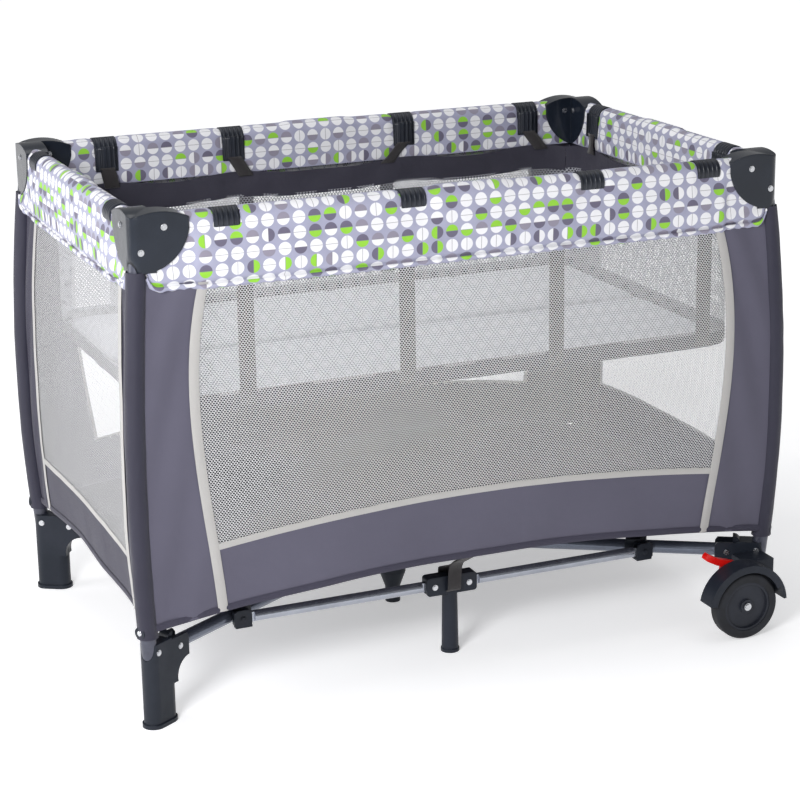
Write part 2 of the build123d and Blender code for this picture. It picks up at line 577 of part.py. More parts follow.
def make_mid_leg(end, side_y):
    """The middle leg of a long side: a column under a bracket with a fork for each side tube."""
    y = SIDE_TUBE_Y
    column = Solid.make_cone(LEG_FOOT_RADIUS, LEG_TOP_RADIUS, BRACKET_BOTTOM, Plane(origin=(0, y, 0)))
    column = column + rod((0, y, 0), (0, y, 5), LEG_FOOT_RADIUS + 1.2)
    spigot = rod((0, y, BRACKET_BOTTOM), (0, y, BRACKET_BOTTOM + 14), 8)
    bracket = rod((0, y, BRACKET_BOTTOM), (0, y, BRACKET_TOP), LEG_TOP_RADIUS)
    outline = Pos(0, (BRACKET_BOTTOM + BRACKET_TOP) / 2) * RectangleRounded(
        2 * BRACKET_HALF_LENGTH, BRACKET_TOP - BRACKET_BOTTOM, 5
    )
    bracket = bracket + plate_xz(outline, y - BRACKET_HALF_WIDTH, y + BRACKET_HALF_WIDTH)
    bracket = bracket - spigot
    pins = []
    for side in (-1, 1):
        near, far = sorted((side * (MID_PIVOT_X - TONGUE_RADIUS - 0.8), side * (BRACKET_HALF_LENGTH + 5)))
        slot_top = BASE_Z + TONGUE_RADIUS + 0.8
        bracket = bracket - block(near, far, y - EAR_GAP, y + EAR_GAP, BRACKET_BOTTOM - 5, slot_top)
        pins.append(rivet((side * MID_PIVOT_X, y, BASE_Z), (0, 1, 0), 2 * BRACKET_HALF_WIDTH))
    for pin in pins:
        bracket = bracket - pin
    save(f"mid_leg_{end}", *[mirrored(piece, 1, side_y) for piece in [column + spigot, bracket, *pins]])


# ---- soft parts, as plain solids of the right size and place ----
PAD_HINGE_RADIUS = 6.0        # lower outer edge, which each half of the mattress turns about


def make_soft_parts():
    wall_low, wall_high, cloth = 150.0, 646.0, 3.0
    long_half, short_half = 476.0, 284.0
    walls = []
    for sign in (-1, 1):
        y0, y1 = sorted((sign * 307.0, sign * (307.0 + cloth)))
        walls.append(block(-long_half, long_half, y0, y1, wall_low, wall_high))
        x0, x1 = sorted((sign * 489.0, sign * (489.0 + cloth)))
        walls.append(block(x0, x1, -short_half, short_half, wall_low, wall_high))
    save("wall_panels", *walls)

    save("yard_floor", block(-478, 478, -296, 296, 141, 145))

    cover_low, cover_high = 650.0, 752.0
    covers = []
    for sign in (-1, 1):
        y0, y1 = sorted((sign * 329.8, sign * 332.8))
        covers.append(block(-424, 424, y0, y1, cover_low, cover_high))
        x0, x1 = sorted((sign * 511.8, sign * 514.8))
        covers.append(block(x0, x1, -243, 243, cover_low, cover_high))
    save("rail_covers", *covers)

    liner_x, liner_y, liner_low, liner_high, liner_wall = 471.0, 290.0, 446.0, 704.0, 2.5
    liner = block(-liner_x, liner_x, -liner_y, liner_y, liner_low, liner_high)
    liner = liner - block(-liner_x + liner_wall, liner_x - liner_wall, -liner_y + liner_wall,
                          liner_y - liner_wall, liner_low + liner_wall, liner_high + 5)
    save("bassinet_liner", liner)

    pad_low, pad_high, pad_x, pad_y, pad_gap = 450.0, 474.0, 463.0, 282.0, 1.0
    for end, sign in ENDS.items():
        y0, y1 = sorted((sign * pad_gap, sign * pad_y))
        pad = fillet(block(-pad_x, pad_x, y0, y1, pad_low, pad_high).edges().filter_by(Axis.Z), 20)
        hinge_edge = pad.edges().filter_by(Axis.X).sort_by(lambda e: sign * e.center().Y - e.center().Z)[-1]
        save(f"mattress_{end}", fillet(hinge_edge, PAD_HINGE_RADIUS))


os.makedirs("parts", exist_ok=True)
for corner_name, (corner_x, corner_y) in CORNERS.items():
    make_corner(corner_name, corner_x, corner_y)
    make_diagonal(corner_name, corner_x, corner_y)
    make_base_clip(corner_name, corner_x, corner_y)
for end_name, end_y in ENDS.items():
    make_wheel(end_name, end_y)
    make_brake_lever(end_name, end_y)
    make_mid_leg(end_name, end_y)
    for side_name in SIDES:
        make_long_rail(end_name, side_name)
        make_short_rail(end_name, side_name)
        make_side_tube(end_name, side_name)
make_locks()
make_hub()
make_soft_parts()
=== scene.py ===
"""Looks of a travel play yard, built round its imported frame.

Metres, +Z up, +X along a long side, -Y front.
"""
import json
from math import cos, exp, hypot, pi, radians, sin, sqrt

import bmesh
import bpy
import numpy as np
from mathutils import Matrix, Vector, noise


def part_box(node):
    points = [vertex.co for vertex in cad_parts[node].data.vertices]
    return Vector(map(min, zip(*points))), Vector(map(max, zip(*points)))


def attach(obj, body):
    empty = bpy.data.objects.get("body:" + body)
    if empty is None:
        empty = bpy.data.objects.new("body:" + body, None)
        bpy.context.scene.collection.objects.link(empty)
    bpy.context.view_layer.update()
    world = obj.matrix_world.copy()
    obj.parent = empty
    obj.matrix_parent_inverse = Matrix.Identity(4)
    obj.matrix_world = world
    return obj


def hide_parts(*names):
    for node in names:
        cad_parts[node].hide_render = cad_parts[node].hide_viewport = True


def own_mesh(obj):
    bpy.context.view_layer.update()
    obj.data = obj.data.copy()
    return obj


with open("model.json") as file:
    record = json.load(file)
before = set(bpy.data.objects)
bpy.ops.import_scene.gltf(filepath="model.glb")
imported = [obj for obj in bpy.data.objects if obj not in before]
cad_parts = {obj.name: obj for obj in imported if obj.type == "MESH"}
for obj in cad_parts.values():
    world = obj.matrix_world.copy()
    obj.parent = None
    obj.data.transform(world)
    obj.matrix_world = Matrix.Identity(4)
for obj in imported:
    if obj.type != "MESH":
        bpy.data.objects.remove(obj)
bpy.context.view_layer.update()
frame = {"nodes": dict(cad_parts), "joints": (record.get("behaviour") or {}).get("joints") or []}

# ---- places, from the frame's joints and nodes ----
PIVOT = {joint["name"]: Vector(joint["pos_m"]) for joint in frame["joints"] if "pos_m" in joint}
RAIL_Y = PIVOT["rail_pivot_rear_right"].y
RAIL_X = PIVOT["rail_pivot_right_rear"].x
RAIL_Z = PIVOT["rail_pivot_rear_right"].z
RAIL_OUT = {"long": RAIL_Y, "short": RAIL_X}
CAP_LOW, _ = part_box("cap_rear_right")
_, FLOOR_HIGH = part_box("yard_floor")
LINER_LOW, LINER_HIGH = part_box("bassinet_liner")
PAD_LOW, PAD_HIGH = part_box("mattress_rear")

# the bowed line of a corner post: top, widest and bottom points of the +X +Y corner
POST_LINE = ((0.494, 0.312, 0.738), (0.517, 0.326, 0.420), (0.505, 0.310, 0.084))
SLEEVE_RADIUS = 0.0146
SLEEVE_BOTTOM = 0.141
HEM_TAB = Vector((0.852, 0.523, 0.151))    # the hem's tab: its direction out of the post, and its height
HEM_TAB_REACH = 0.022
WALL_PROUD = {"long": 0.0075, "short": -0.002}    # wall cloth outside the posts' axes
COVER_RADIUS = 0.0172         # rail cover round the rail
CLIP_GRIP_RADIUS = 0.0146     # rail cover squeezed by a clip
CLIP_RADIUS = 0.0175
CLIP_LENGTH = 0.038
CLIPS = {
    "front": (-0.372, -0.092, 0.194, 0.390),
    "rear": (-0.369, -0.152, 0.155, 0.390),
    "left": (-0.212, 0.212),
    "right": (-0.212, 0.212),
}
# how far along the side the webbing leans, from each clip to the bassinet
WEBBING_LEAN = {
    "front": (0.035, 0.003, -0.040, 0.017),
    "rear": (0.006, 0.019, -0.034, 0.024),
    "left": (0.010, -0.006),
    "right": (0.008, -0.010),
}
SIDES = ("front", "rear", "left", "right")
LONG_SIDES = ("front", "rear")
SIGN = {"front": -1, "rear": 1, "left": -1, "right": 1}
CORNERS = {"front_left": (-1, -1), "front_right": (1, -1), "rear_left": (-1, 1), "rear_right": (1, 1)}


def is_long(side):
    return side in LONG_SIDES


def kind_of(side):
    return "long" if is_long(side) else "short"


def place(side, along, out, z):
    """A point on a side: along it, outward from the middle of the yard, and up."""
    return (along, SIGN[side] * out, z) if is_long(side) else (SIGN[side] * out, along, z)


def mix(a, b, share):
    return a + (b - a) * share


def smooth_step(x):
    x = min(max(x, 0.0), 1.0)
    return x * x * (3 - 2 * x)


def through(points, x):
    """The smooth line through a few (x, y) points, at x."""
    total = 0.0
    for i, (xi, yi) in enumerate(points):
        term = yi
        for j, (xj, _) in enumerate(points):
            if j != i:
                term *= (x - xj) / (xi - xj)
        total += term
    return total


def post_at(z):
    """Where the +X +Y post's axis is at a height."""
    return (through([(p[2], p[0]) for p in POST_LINE], z), through([(p[2], p[1]) for p in POST_LINE], z))


def half_span(side, z):
    """From the middle of a side to the axis of the post at its end."""
    x, y = post_at(z)
    return x if is_long(side) else y


def wall_out(side, z):
    x, y = post_at(z)
    return (y if is_long(side) else x) + WALL_PROUD[kind_of(side)]


def ripple(a, b, seed, size, height):
    """Smooth unevenness of cloth, always the same for a seed."""
    return height * noise.noise(Vector((a / size, b / size, seed * 7.31)))


# ---- folding ----
END_X, END_Y = POST_LINE[2][0], POST_LINE[2][1]
WALL_BODY = {
    "front": "corner_front_left",
    "rear": "corner_rear_left",
    "left": "corner_front_left",
    "right": "corner_front_right",
}


def fold_with_wall(piece, side):
    """Cloth between two corners: it moves with the body of one of them, with a mesh of its own."""
    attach(piece, WALL_BODY[side])
    if is_long(side):
        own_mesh(piece)
    else:
        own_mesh(piece)


# ---- mesh helpers ----
def add_piece(name, vertices, faces, material, uvs=None):
    mesh = bpy.data.meshes.new(name)
    mesh.from_pydata([tuple(v) for v in vertices], [], faces)
    if uvs is not None:
        layer = mesh.uv_layers.new(name="UVMap")
        for loop in mesh.loops:
            layer.data[loop.index].uv = uvs[loop.vertex_index]
    mesh.shade_smooth()
    mesh.materials.append(material)
    piece = bpy.data.objects.new(name, mesh)
    bpy.context.scene.collection.objects.link(piece)
    return piece


def sheet_grid(name, rows, columns, point, material, flip=False):
    """A sheet: point(s, t) gives a place and the (u, v) of the flat cloth there, in metres."""
    vertices, uvs, faces = [], [], []
    for j in range(rows + 1):
        for i in range(columns + 1):
            xyz, uv = point(i / columns, j / rows)
            vertices.append(xyz)
            uvs.append(uv)
    for j in range(rows):
        for i in range(columns):
            a = j * (columns + 1) + i
            quad = (a, a + 1, a + columns + 2, a + columns + 1)
            faces.append(quad[::-1] if flip else quad)
    return add_piece(name, vertices, faces, material, uvs)


def declare_sheet(piece):
    """Reads the size and area of a sheet's flat cloth from its uv map; nothing is done with them."""
    mesh = piece.data
    uv = np.array([loop.uv[:] for loop in mesh.uv_layers[0].data])
    width, length = uv.max(axis=0) - uv.min(axis=0)
    area = 0.0
    for face in mesh.polygons:
        ring = uv[list(face.loop_indices)]
        x, y = ring[:, 0], ring[:, 1]
        area += abs(np.dot(x, np.roll(y, -1)) - np.dot(y, np.roll(x, -1))) / 2
    area = min(area, width * length)


# ---- materials ----
def srgb(red, green, blue):
    """A colour given as 0 to 255 on a screen, in linear light."""
    def linear(value):
        value /= 255
        return value / 12.92 if value <= 0.04045 else ((value + 0.055) / 1.055) ** 2.4
    return (linear(red), linear(green), linear(blue), 1.0)


class Graph:
    """A material's node tree, with short ways to add a node and join it."""

    def __init__(self, name, roughness=0.6, **inputs):
        self.material = bpy.data.materials.new(name)
        self.material.use_nodes = True
        self.tree = self.material.node_tree
        self.shader = self.tree.nodes["Principled BSDF"]
        self.shader.inputs["Roughness"].default_value = roughness
        for key, value in inputs.items():
            self.shader.inputs[key.replace("_", " ")].default_value = value

    def put(self, socket, value):
        if isinstance(value, bpy.types.NodeSocket):
            self.tree.links.new(value, socket)
        else:
            socket.default_value = value

    def add(self, kind, settings=None, **inputs):
        node = self.tree.nodes.new(kind)
        for key, value in (settings or {}).items():
            setattr(node, key, value)
        for key, value in inputs.items():
            self.put(node.inputs[key.replace("_", " ")], value)
        return node

    def maths(self, operation, *values):
        node = self.add("ShaderNodeMath", {"operation": operation})
        for socket, value in zip(node.inputs, values):
            self.put(socket, value)
        return node.outputs[0]

    def times(self, first, second):
        return self.maths("MULTIPLY", first, second)

    def less(self, first, second):
        return self.maths("SUBTRACT", first, second)

    def length(self, first, second):
        """The length of a step that is first one way and second across it."""
        squares = [self.maths("POWER", value, 2.0) for value in (first, second)]
        return self.maths("SQRT", self.maths("ADD", *squares))

    def waves(self, along, pitch):
        return self.maths("SINE", self.times(along, 2 * pi / pitch))

    def place(self, space="Object"):
        return self.add("ShaderNodeTexCoord").outputs[space]

    def apart(self, vector):
        return self.add("ShaderNodeSeparateXYZ", Vector=vector).outputs

    def noise(self, vector, scale, detail=3.0, roughness=0.55):
        node = self.add("ShaderNodeTexNoise", Vector=vector, Scale=scale, Detail=detail, Roughness=roughness)
        return node.outputs["Fac"]

    def ramp(self, value, *stops, constant=False):
        node = self.add("ShaderNodeValToRGB", Fac=value)
        ramp = node.color_ramp
        if constant:
            ramp.interpolation = "CONSTANT"
        while len(ramp.elements) < len(stops):
            ramp.elements.new(0.5)
        for element, (at, colour) in zip(ramp.elements, stops):
            element.position = at
            element.color = colour
        return node.outputs["Color"]

    def blend(self, share, first, second, kind="RGBA"):
        node = self.add("ShaderNodeMix", {"data_type": kind}, Factor=share, A=first, B=second)
        return node.outputs["Result"]

    def span(self, value, low, high, new_low, new_high):
        node = self.add("ShaderNodeMapRange")
        for socket, number in zip(node.inputs, (value, low, high, new_low, new_high)):
            self.put(socket, number)
        return node.outputs[0]

    def bump(self, *layers, edge=0.0):
        """Bumps on top of each other: (height, distance in metres) pairs, on edges rounded by edge."""
        normal = self.add("ShaderNodeBevel", {"samples": 4}, Radius=edge).outputs["Normal"] if edge else None
        for height, distance in layers:
            node = self.add("ShaderNodeBump", Height=height, Distance=distance)
            if normal is not None:
                self.tree.links.new(normal, node.inputs["Normal"])
            normal = node.outputs["Normal"]
        self.put(self.shader.inputs["Normal"], normal)

    def colour(self, value):
        self.put(self.shader.inputs["Base Color"], value)

    def rough(self, value):
        self.put(self.shader.inputs["Roughness"], value)


def weave(graph, vector, pitch):
    """Plain weave: threads over and under each other, as a height from 0 to 1."""
    x, y, _ = graph.apart(vector)
    over = graph.times(graph.waves(x, pitch), graph.waves(y, pitch))
    return graph.maths("MULTIPLY_ADD", over, 0.5, 0.5)


def cloth_material(name, dark, light, pitch=0.0011, sheen=0.08, roughness=0.72, wrinkle=0.0012):
    """Woven cloth: two near colours in slow patches, a weave, and soft creases."""
    graph = Graph(name, Sheen_Weight=sheen, Sheen_Roughness=0.45, Specular_IOR_Level=0.35)
    uv = graph.place("UV")
    spot = graph.place("Object")
    weaving = weave(graph, uv, pitch)
    slow = graph.noise(spot, 5.0, 4.0)
    fine = graph.noise(uv, 900.0, 2.0)
    tone = graph.maths("MULTIPLY_ADD", fine, 0.35, graph.times(slow, 0.65))
    # the weave's low places are painted a little darker: painted shade between the threads
    tone = graph.maths("MULTIPLY_ADD", weaving, 0.2, graph.less(tone, 0.1))
    graph.colour(graph.ramp(tone, (0.3, dark), (0.7, light)))
    graph.rough(graph.span(fine, 0.3, 0.7, roughness - 0.08, roughness + 0.08))
    graph.bump((slow, wrinkle * 4), (graph.noise(spot, 26.0, 3.0), wrinkle), (weaving, 0.00012))
    return graph.material


PRINT_PITCH_U = 0.0232
PRINT_PITCH_V = 0.0212
PRINT_RADIUS = 0.0094
PRINT_BLUR = 0.0002
NET_ROW_SHARE = 0.62          # a net's rows are closer than its holes along a row


def print_material():
    """Printed cloth: a square array of discs, each of two halves that are white, grey or green."""
    graph = Graph("printed_cloth", Sheen_Weight=0.1, Specular_IOR_Level=0.3)
    uv = graph.place("UV")
    u, v, _ = graph.apart(uv)
    u_cells = graph.maths("DIVIDE", u, PRINT_PITCH_U)
    v_cells = graph.maths("DIVIDE", v, PRINT_PITCH_V)
    column = graph.maths("FLOOR", u_cells)
    row = graph.maths("FLOOR", v_cells)
    x = graph.less(graph.less(u_cells, column), 0.5)
    y = graph.less(graph.less(v_cells, row), 0.5)

    def pick(seed):
        cell = graph.add("ShaderNodeCombineXYZ", X=column, Y=row, Z=seed).outputs[0]
        return graph.add("ShaderNodeTexWhiteNoise", {"noise_dimensions": "3D"}, Vector=cell).outputs["Value"]

    upright_row = graph.maths("LESS_THAN", graph.maths("FLOORED_MODULO", row, 4.0), 0.5)
    likely = graph.span(upright_row, 0.0, 1.0, 0.12, 0.75)
    turned = graph.maths("LESS_THAN", pick(3.0), likely)
    split = graph.blend(turned, y, x, kind="FLOAT")
    flipped_disc = graph.maths("GREATER_THAN", pick(7.0), 0.62)
    split = graph.times(split, graph.span(flipped_disc, 0.0, 1.0, 1.0, -1.0))
    first_half = graph.maths("GREATER_THAN", split, 0.0)
    kind = pick(1.0)
    white, grey = srgb(226, 226, 229), srgb(136, 131, 146)
    green, dark = srgb(138, 198, 48), srgb(98, 93, 113)
    colour_a = graph.ramp(kind, (0.0, white), (0.46, grey), (0.64, green), (0.88, dark), constant=True)
    colour_b = graph.ramp(kind, (0.0, white), (0.64, dark), (0.78, white), constant=True)
    halves = graph.blend(first_half, colour_b, colour_a)
    seam = graph.maths("LESS_THAN", graph.maths("ABSOLUTE", split), 0.02)
    halves = graph.blend(graph.times(seam, 0.7), halves, srgb(118, 112, 122))
    distance = graph.length(graph.times(x, PRINT_PITCH_U), graph.times(y, PRINT_PITCH_V))
    inside = graph.span(distance, PRINT_RADIUS - PRINT_BLUR, PRINT_RADIUS + PRINT_BLUR, 1.0, 0.0)
    spot = graph.place("Object")
    ground = graph.ramp(graph.noise(spot, 18.0), (0.3, srgb(148, 149, 171)), (0.7, srgb(162, 163, 185)))
    colour = graph.blend(inside, ground, halves)
    fine = graph.noise(uv, 1100.0, 2.0)
    graph.colour(graph.blend(graph.span(fine, 0.3, 0.7, 0.0, 0.08), colour, srgb(150, 150, 168)))
    graph.rough(graph.span(fine, 0.3, 0.7, 0.62, 0.8))
    graph.bump((graph.noise(spot, 22.0, 3.0), 0.0022), (weave(graph, uv, 0.0009), 0.0001))
    return graph.material


def net_material(name, thread, pitch, hole, roughness=0.6):
    """Knitted net: rows of small holes, each row half a hole along from the next."""
    graph = Graph(name, roughness, Specular_IOR_Level=0.3)
    u, v, _ = graph.apart(graph.place("UV"))
    v_cells = graph.maths("DIVIDE", v, pitch * NET_ROW_SHARE)
    row = graph.maths("FLOOR", v_cells)
    shift = graph.times(graph.maths("FLOORED_MODULO", row, 2.0), 0.5)
    u_cells = graph.maths("ADD", graph.maths("DIVIDE", u, pitch), shift)
    x = graph.less(graph.maths("FRACT", u_cells), 0.5)
    y = graph.less(graph.less(v_cells, row), 0.5)
    slant = graph.times(graph.maths("ABSOLUTE", y), 0.72)
    reach = graph.maths("ADD", graph.maths("ABSOLUTE", x), slant)
    solid = graph.maths("GREATER_THAN", reach, hole)
    graph.put(graph.shader.inputs["Alpha"], solid)
    edge = graph.span(reach, hole, hole + 0.2, 0.0, 1.0)
    shaded = tuple(channel * 0.72 for channel in thread[:3]) + (1.0,)
    graph.colour(graph.blend(edge, shaded, thread))
    graph.bump((edge, 0.0004))
    return graph.material


def webbing_material(name, dark, light):
    """Woven strap: fine ribs across it and a soft edge."""
    graph = Graph(name, Sheen_Weight=0.2, Specular_IOR_Level=0.35)
    uv = graph.place("UV")
    ribs = graph.waves(graph.apart(uv)[1], 0.0016)
    fine = graph.noise(uv, 1500.0, 2.0)
    graph.colour(graph.ramp(fine, (0.3, dark), (0.7, light)))
    graph.rough(graph.span(fine, 0.3, 0.7, 0.6, 0.85))
    graph.bump((ribs, 0.00022), (fine, 0.0001))
    return graph.material


def plastic_material(name, dark, light, roughness, grain, coat=0.0, edge=0.0012):
    """Moulded plastic: rounded edges, slight mottling, a fine grain and a few rubbed places."""
    graph = Graph(name, Coat_Weight=coat, Coat_Roughness=0.12, Specular_IOR_Level=0.24)
    spot = graph.place()
    slow = graph.noise(spot, 14.0, 4.0)
    fine = graph.noise(spot, 2600.0, 2.0)
    graph.colour(graph.ramp(slow, (0.35, dark), (0.7, light)))
    rubbed = graph.noise(spot, 60.0, 6.0, 0.7)
    graph.rough(graph.span(rubbed, 0.35, 0.7, roughness * 0.8, roughness * 1.25))
    graph.bump((slow, 0.0008), (fine, grain), edge=edge)
    return graph.material


def ribbed_material(name, dark, light, axis):
    """Moulded plastic with ribs round the rail, which runs along an axis, as on the rail clips."""
    graph = Graph(name, 0.34, Specular_IOR_Level=0.4)
    along = graph.apart(graph.place("Object"))[axis]
    ribs = graph.span(graph.waves(along, 0.0076), -0.2, 0.8, 0.0, 1.0)
    slow = graph.noise(graph.place(), 30.0, 3.0)
    graph.colour(graph.ramp(slow, (0.35, dark), (0.7, light)))
    graph.bump((ribs, 0.0014), (graph.noise(graph.place(), 2200.0, 2.0), 0.00005), edge=0.0012)
    return graph.material


def paint_material(name, dark, light, roughness=0.35, metallic=0.3):
    """Powder-coated tube: orange peel and faint rub marks along it."""
    graph = Graph(name, Metallic=metallic, Coat_Weight=0.25, Coat_Roughness=0.2)
    spot = graph.place()
    rubbed = graph.noise(spot, 35.0, 6.0, 0.65)
    graph.colour(graph.ramp(rubbed, (0.35, dark), (0.65, light)))
    graph.rough(graph.span(rubbed, 0.3, 0.7, roughness - 0.02, roughness + 0.05))
    graph.bump((graph.noise(spot, 700.0, 2.0), 0.00008))
    return graph.material


def steel_material(name):
    """Plated steel with turning marks."""
    graph = Graph(name, Metallic=1.0)
    spot = graph.place()
    marks = graph.noise(spot, 900.0, 3.0)
    graph.colour(graph.ramp(marks, (0.3, srgb(170, 172, 176)), (0.7, srgb(224, 225, 228))))
    graph.rough(graph.span(marks, 0.3, 0.7, 0.16, 0.34))
    graph.bump((marks, 0.00005))
    return graph.material


def rubber_material(name):
    graph = Graph(name, 0.75, Specular_IOR_Level=0.3)
    spot = graph.place()
    dust = graph.noise(spot, 40.0, 5.0)
    graph.colour(graph.ramp(dust, (0.35, srgb(24, 25, 29)), (0.75, srgb(44, 46, 52))))
    graph.rough(graph.span(dust, 0.3, 0.7, 0.55, 0.8))
    graph.bump((graph.noise(spot, 1500.0, 3.0), 0.00012))
    return graph.material


# the floor's glow, lower under the yard as a painted shadow there
FLOOR_GLOW = (0.42, 0.75)     # under the yard, and away from it


def floor_material():
    """The white studio floor, which glows a little, and more away from the yard: the lower glow under the
    yard is a painted shadow there.
    """
    graph = Graph("studio_floor", 0.8, Emission_Color=(1, 1, 1, 1))
    x, y, _ = graph.apart(graph.place())
    glow = graph.span(graph.length(x, y), 0.8, 2.2, *FLOOR_GLOW)
    graph.put(graph.shader.inputs["Emission Strength"], glow)
    speck = graph.noise(graph.place(), 4.0, 4.0)
    graph.colour(graph.ramp(speck, (0.3, srgb(238, 238, 240)), (0.7, srgb(243, 243, 244))))
    return graph.material


SLATE = cloth_material("slate_cloth", srgb(80, 78, 93), srgb(89, 87, 103))
NAVY = cloth_material("navy_cloth", srgb(48, 46, 61), srgb(58, 56, 72))
SLEEVE_CLOTH = cloth_material("sleeve_cloth", srgb(37, 36, 51), srgb(46, 45, 61), sheen=0.15, roughness=0.6)
DARK_LINING = cloth_material("dark_lining", srgb(44, 43, 54), srgb(56, 54, 67), wrinkle=0.0025)
FLOOR_CLOTH = cloth_material("floor_cloth", srgb(58, 57, 68), srgb(68, 67, 78))
PAD_CLOTH = cloth_material("pad_cloth", srgb(232, 233, 238), srgb(244, 244, 248), wrinkle=0.0008)
PRINT = print_material()
WHITE_NET = net_material("white_net", srgb(244, 244, 246), 0.0045, 0.47)
# the bassinet net's threads are painted grey as shade: the same white net as the windows, darkened as if
# shaded inside the yard
BASSINET_NET_PAINTED_SHADE = net_material("bassinet_net", srgb(168, 169, 176), 0.0056, 0.42)
TAPE = webbing_material("pale_tape", srgb(172, 170, 168), srgb(190, 188, 186))
WEBBING = webbing_material("dark_webbing", srgb(32, 29, 31), srgb(48, 44, 46))
GLOSS_CAP = plastic_material(
    "cap_plastic", srgb(22, 28, 38), srgb(29, 35, 46), 0.22, 0.00002, coat=0.3, edge=0.0035)
MATTE_DARK = plastic_material("dark_plastic", srgb(27, 32, 41), srgb(36, 40, 50), 0.42, 0.00006)
WHEEL_DARK = plastic_material("wheel_plastic", srgb(31, 34, 42), srgb(42, 45, 54), 0.38, 0.00004)
RED = plastic_material("red_plastic", srgb(205, 14, 12), srgb(232, 28, 20), 0.3, 0.00002, coat=0.3)
CLIP_PLASTIC = {
    "long": ribbed_material("clip_plastic_long", srgb(27, 31, 40), srgb(38, 42, 52), 0),
    "short": ribbed_material("clip_plastic_short", srgb(27, 31, 40), srgb(38, 42, 52), 1),
}
POST_PAINT = paint_material("post_paint", srgb(56, 58, 70), srgb(70, 72, 86))
RAIL_PAINT = paint_material("rail_paint", srgb(52, 54, 64), srgb(64, 66, 78))
DIAGONAL_PAINT = paint_material("diagonal_paint", srgb(98, 104, 118), srgb(107, 113, 127), 0.22, 0.6)
SILVER_PAINT = paint_material("silver_paint", srgb(156, 160, 170), srgb(170, 174, 184), 0.2, 0.85)
STEEL = steel_material("plated_steel")
RUBBER = rubber_material("tyre_rubber")


# ---- the frame's own parts: better materials, by node and by loose solid ----
def loose_parts(mesh):
    """The faces of each separate solid in a mesh."""
    work = bmesh.new()
    work.from_mesh(mesh)
    work.verts.ensure_lookup_table()
    spots = {}
    root = list(range(len(work.verts)))

    def find(i):
        while root[i] != i:
            root[i] = root[root[i]]
            i = root[i]
        return i

    for vertex in work.verts:
        key = tuple(round(c, 6) for c in vertex.co)
        if key in spots:
            root[find(vertex.index)] = find(spots[key])
        else:
            spots[key] = vertex.index
    for edge in work.edges:
        root[find(edge.verts[0].index)] = find(edge.verts[1].index)
    parts = {}
    for face in work.faces:
        parts.setdefault(find(face.verts[0].index), []).append(face.index)
    work.free()
    return list(parts.values())


def paint_node(name, material, choose=None):
    """Gives a CAD node its material; choose(low, high) may pick another for a solid by its box."""
    piece = frame["nodes"][name]
    piece.data.materials.clear()
    piece.data.materials.append(material)
    if choose is None:
        return
    mesh = piece.data
    for faces in loose_parts(mesh):
        corners = np.array([mesh.vertices[v].co[:] for f in faces for v in mesh.polygons[f].vertices])
        other = choose(corners.min(axis=0), corners.max(axis=0))
        if other is None:
            continue
        if other.name not in [m.name for m in mesh.materials]:
            mesh.materials.append(other)
        index = [m.name for m in mesh.materials].index(other.name)
        for f in faces:
            mesh.polygons[f].material_index = index


PIN_HEAD_RADIUS = 0.0049


def paint_pins(name, axis, *centres):
    """Makes the pins through a CAD node steel: they all lie along the axis."""
    mesh = frame["nodes"][name].data
    mesh.materials.append(STEEL)
    axis = Vector(axis).normalized()
    for centre in centres:
        near = set()
        for vertex in mesh.vertices:
            offset = vertex.co - centre
            if (offset - axis * offset.dot(axis)).length < PIN_HEAD_RADIUS:
                near.add(vertex.index)
        for face in mesh.polygons:
            if near.issuperset(face.vertices):
                face.material_index = len(mesh.materials) - 1


def flipped_x(point):
    return Vector((-point.x, point.y, point.z))


def rail_solid(low, high):
    """The clips on a rail are ribbed plastic; the plugs are plain plastic and the tube is painted."""
    size = high - low
    if min(size[0], size[1]) > 0.026:
        on_long_rail = abs(low[1] + high[1]) / 2 > RAIL_Y - 0.03
        return CLIP_PLASTIC["long" if on_long_rail else "short"]
    return MATTE_DARK if max(size) < 0.06 else None


def pin_solid(low, high):
    """Pins and rivets inside a plastic part are steel."""
    size = sorted(high - low)
    return STEEL if size[0] < 0.0125 and size[1] < 0.013 else None


def tube_solid(low, high):
    return MATTE_DARK if max(high - low) < 0.07 else None


for corner in CORNERS:
    paint_node(f"post_{corner}", POST_PAINT)
    paint_node(f"cap_{corner}", GLOSS_CAP)
    paint_node(f"foot_{corner}", MATTE_DARK)
    paint_node(f"rivets_{corner}", STEEL)
    paint_node(f"diagonal_tube_{corner}", DIAGONAL_PAINT, tube_solid)
    paint_node(f"base_clip_{corner}", MATTE_DARK, pin_solid)
for end in ("front", "rear"):
    paint_node(f"mid_leg_{end}", MATTE_DARK, pin_solid)
    paint_node(f"wheel_disc_{end}", WHEEL_DARK)
    paint_node(f"tyre_{end}", RUBBER)
    paint_node(f"brake_lever_{end}", RED)
    for side in ("left", "right"):
        paint_node(f"side_tube_{end}_{side}", SILVER_PAINT, tube_solid)
        paint_node(f"rail_{end}_{side}", RAIL_PAINT, rail_solid)
        paint_node(f"rail_{side}_{end}", RAIL_PAINT, rail_solid)
    pivot = PIVOT[f"mid_leg_pivot_{end}_left"]
    paint_pins(f"mid_leg_{end}", (0, 1, 0), pivot, flipped_x(pivot))
for corner, (side_x, side_y) in CORNERS.items():
    across = (side_y * END_Y, -side_x * END_X, 0)
    paint_pins(f"base_clip_{corner}", across, PIVOT[f"clip_pivot_{corner}"])
for side in SIDES:
    paint_node(f"lock_{side}", MATTE_DARK, pin_solid)
    paint_node(f"lock_button_{side}", RED)
paint_node("hub", MATTE_DARK, pin_solid)


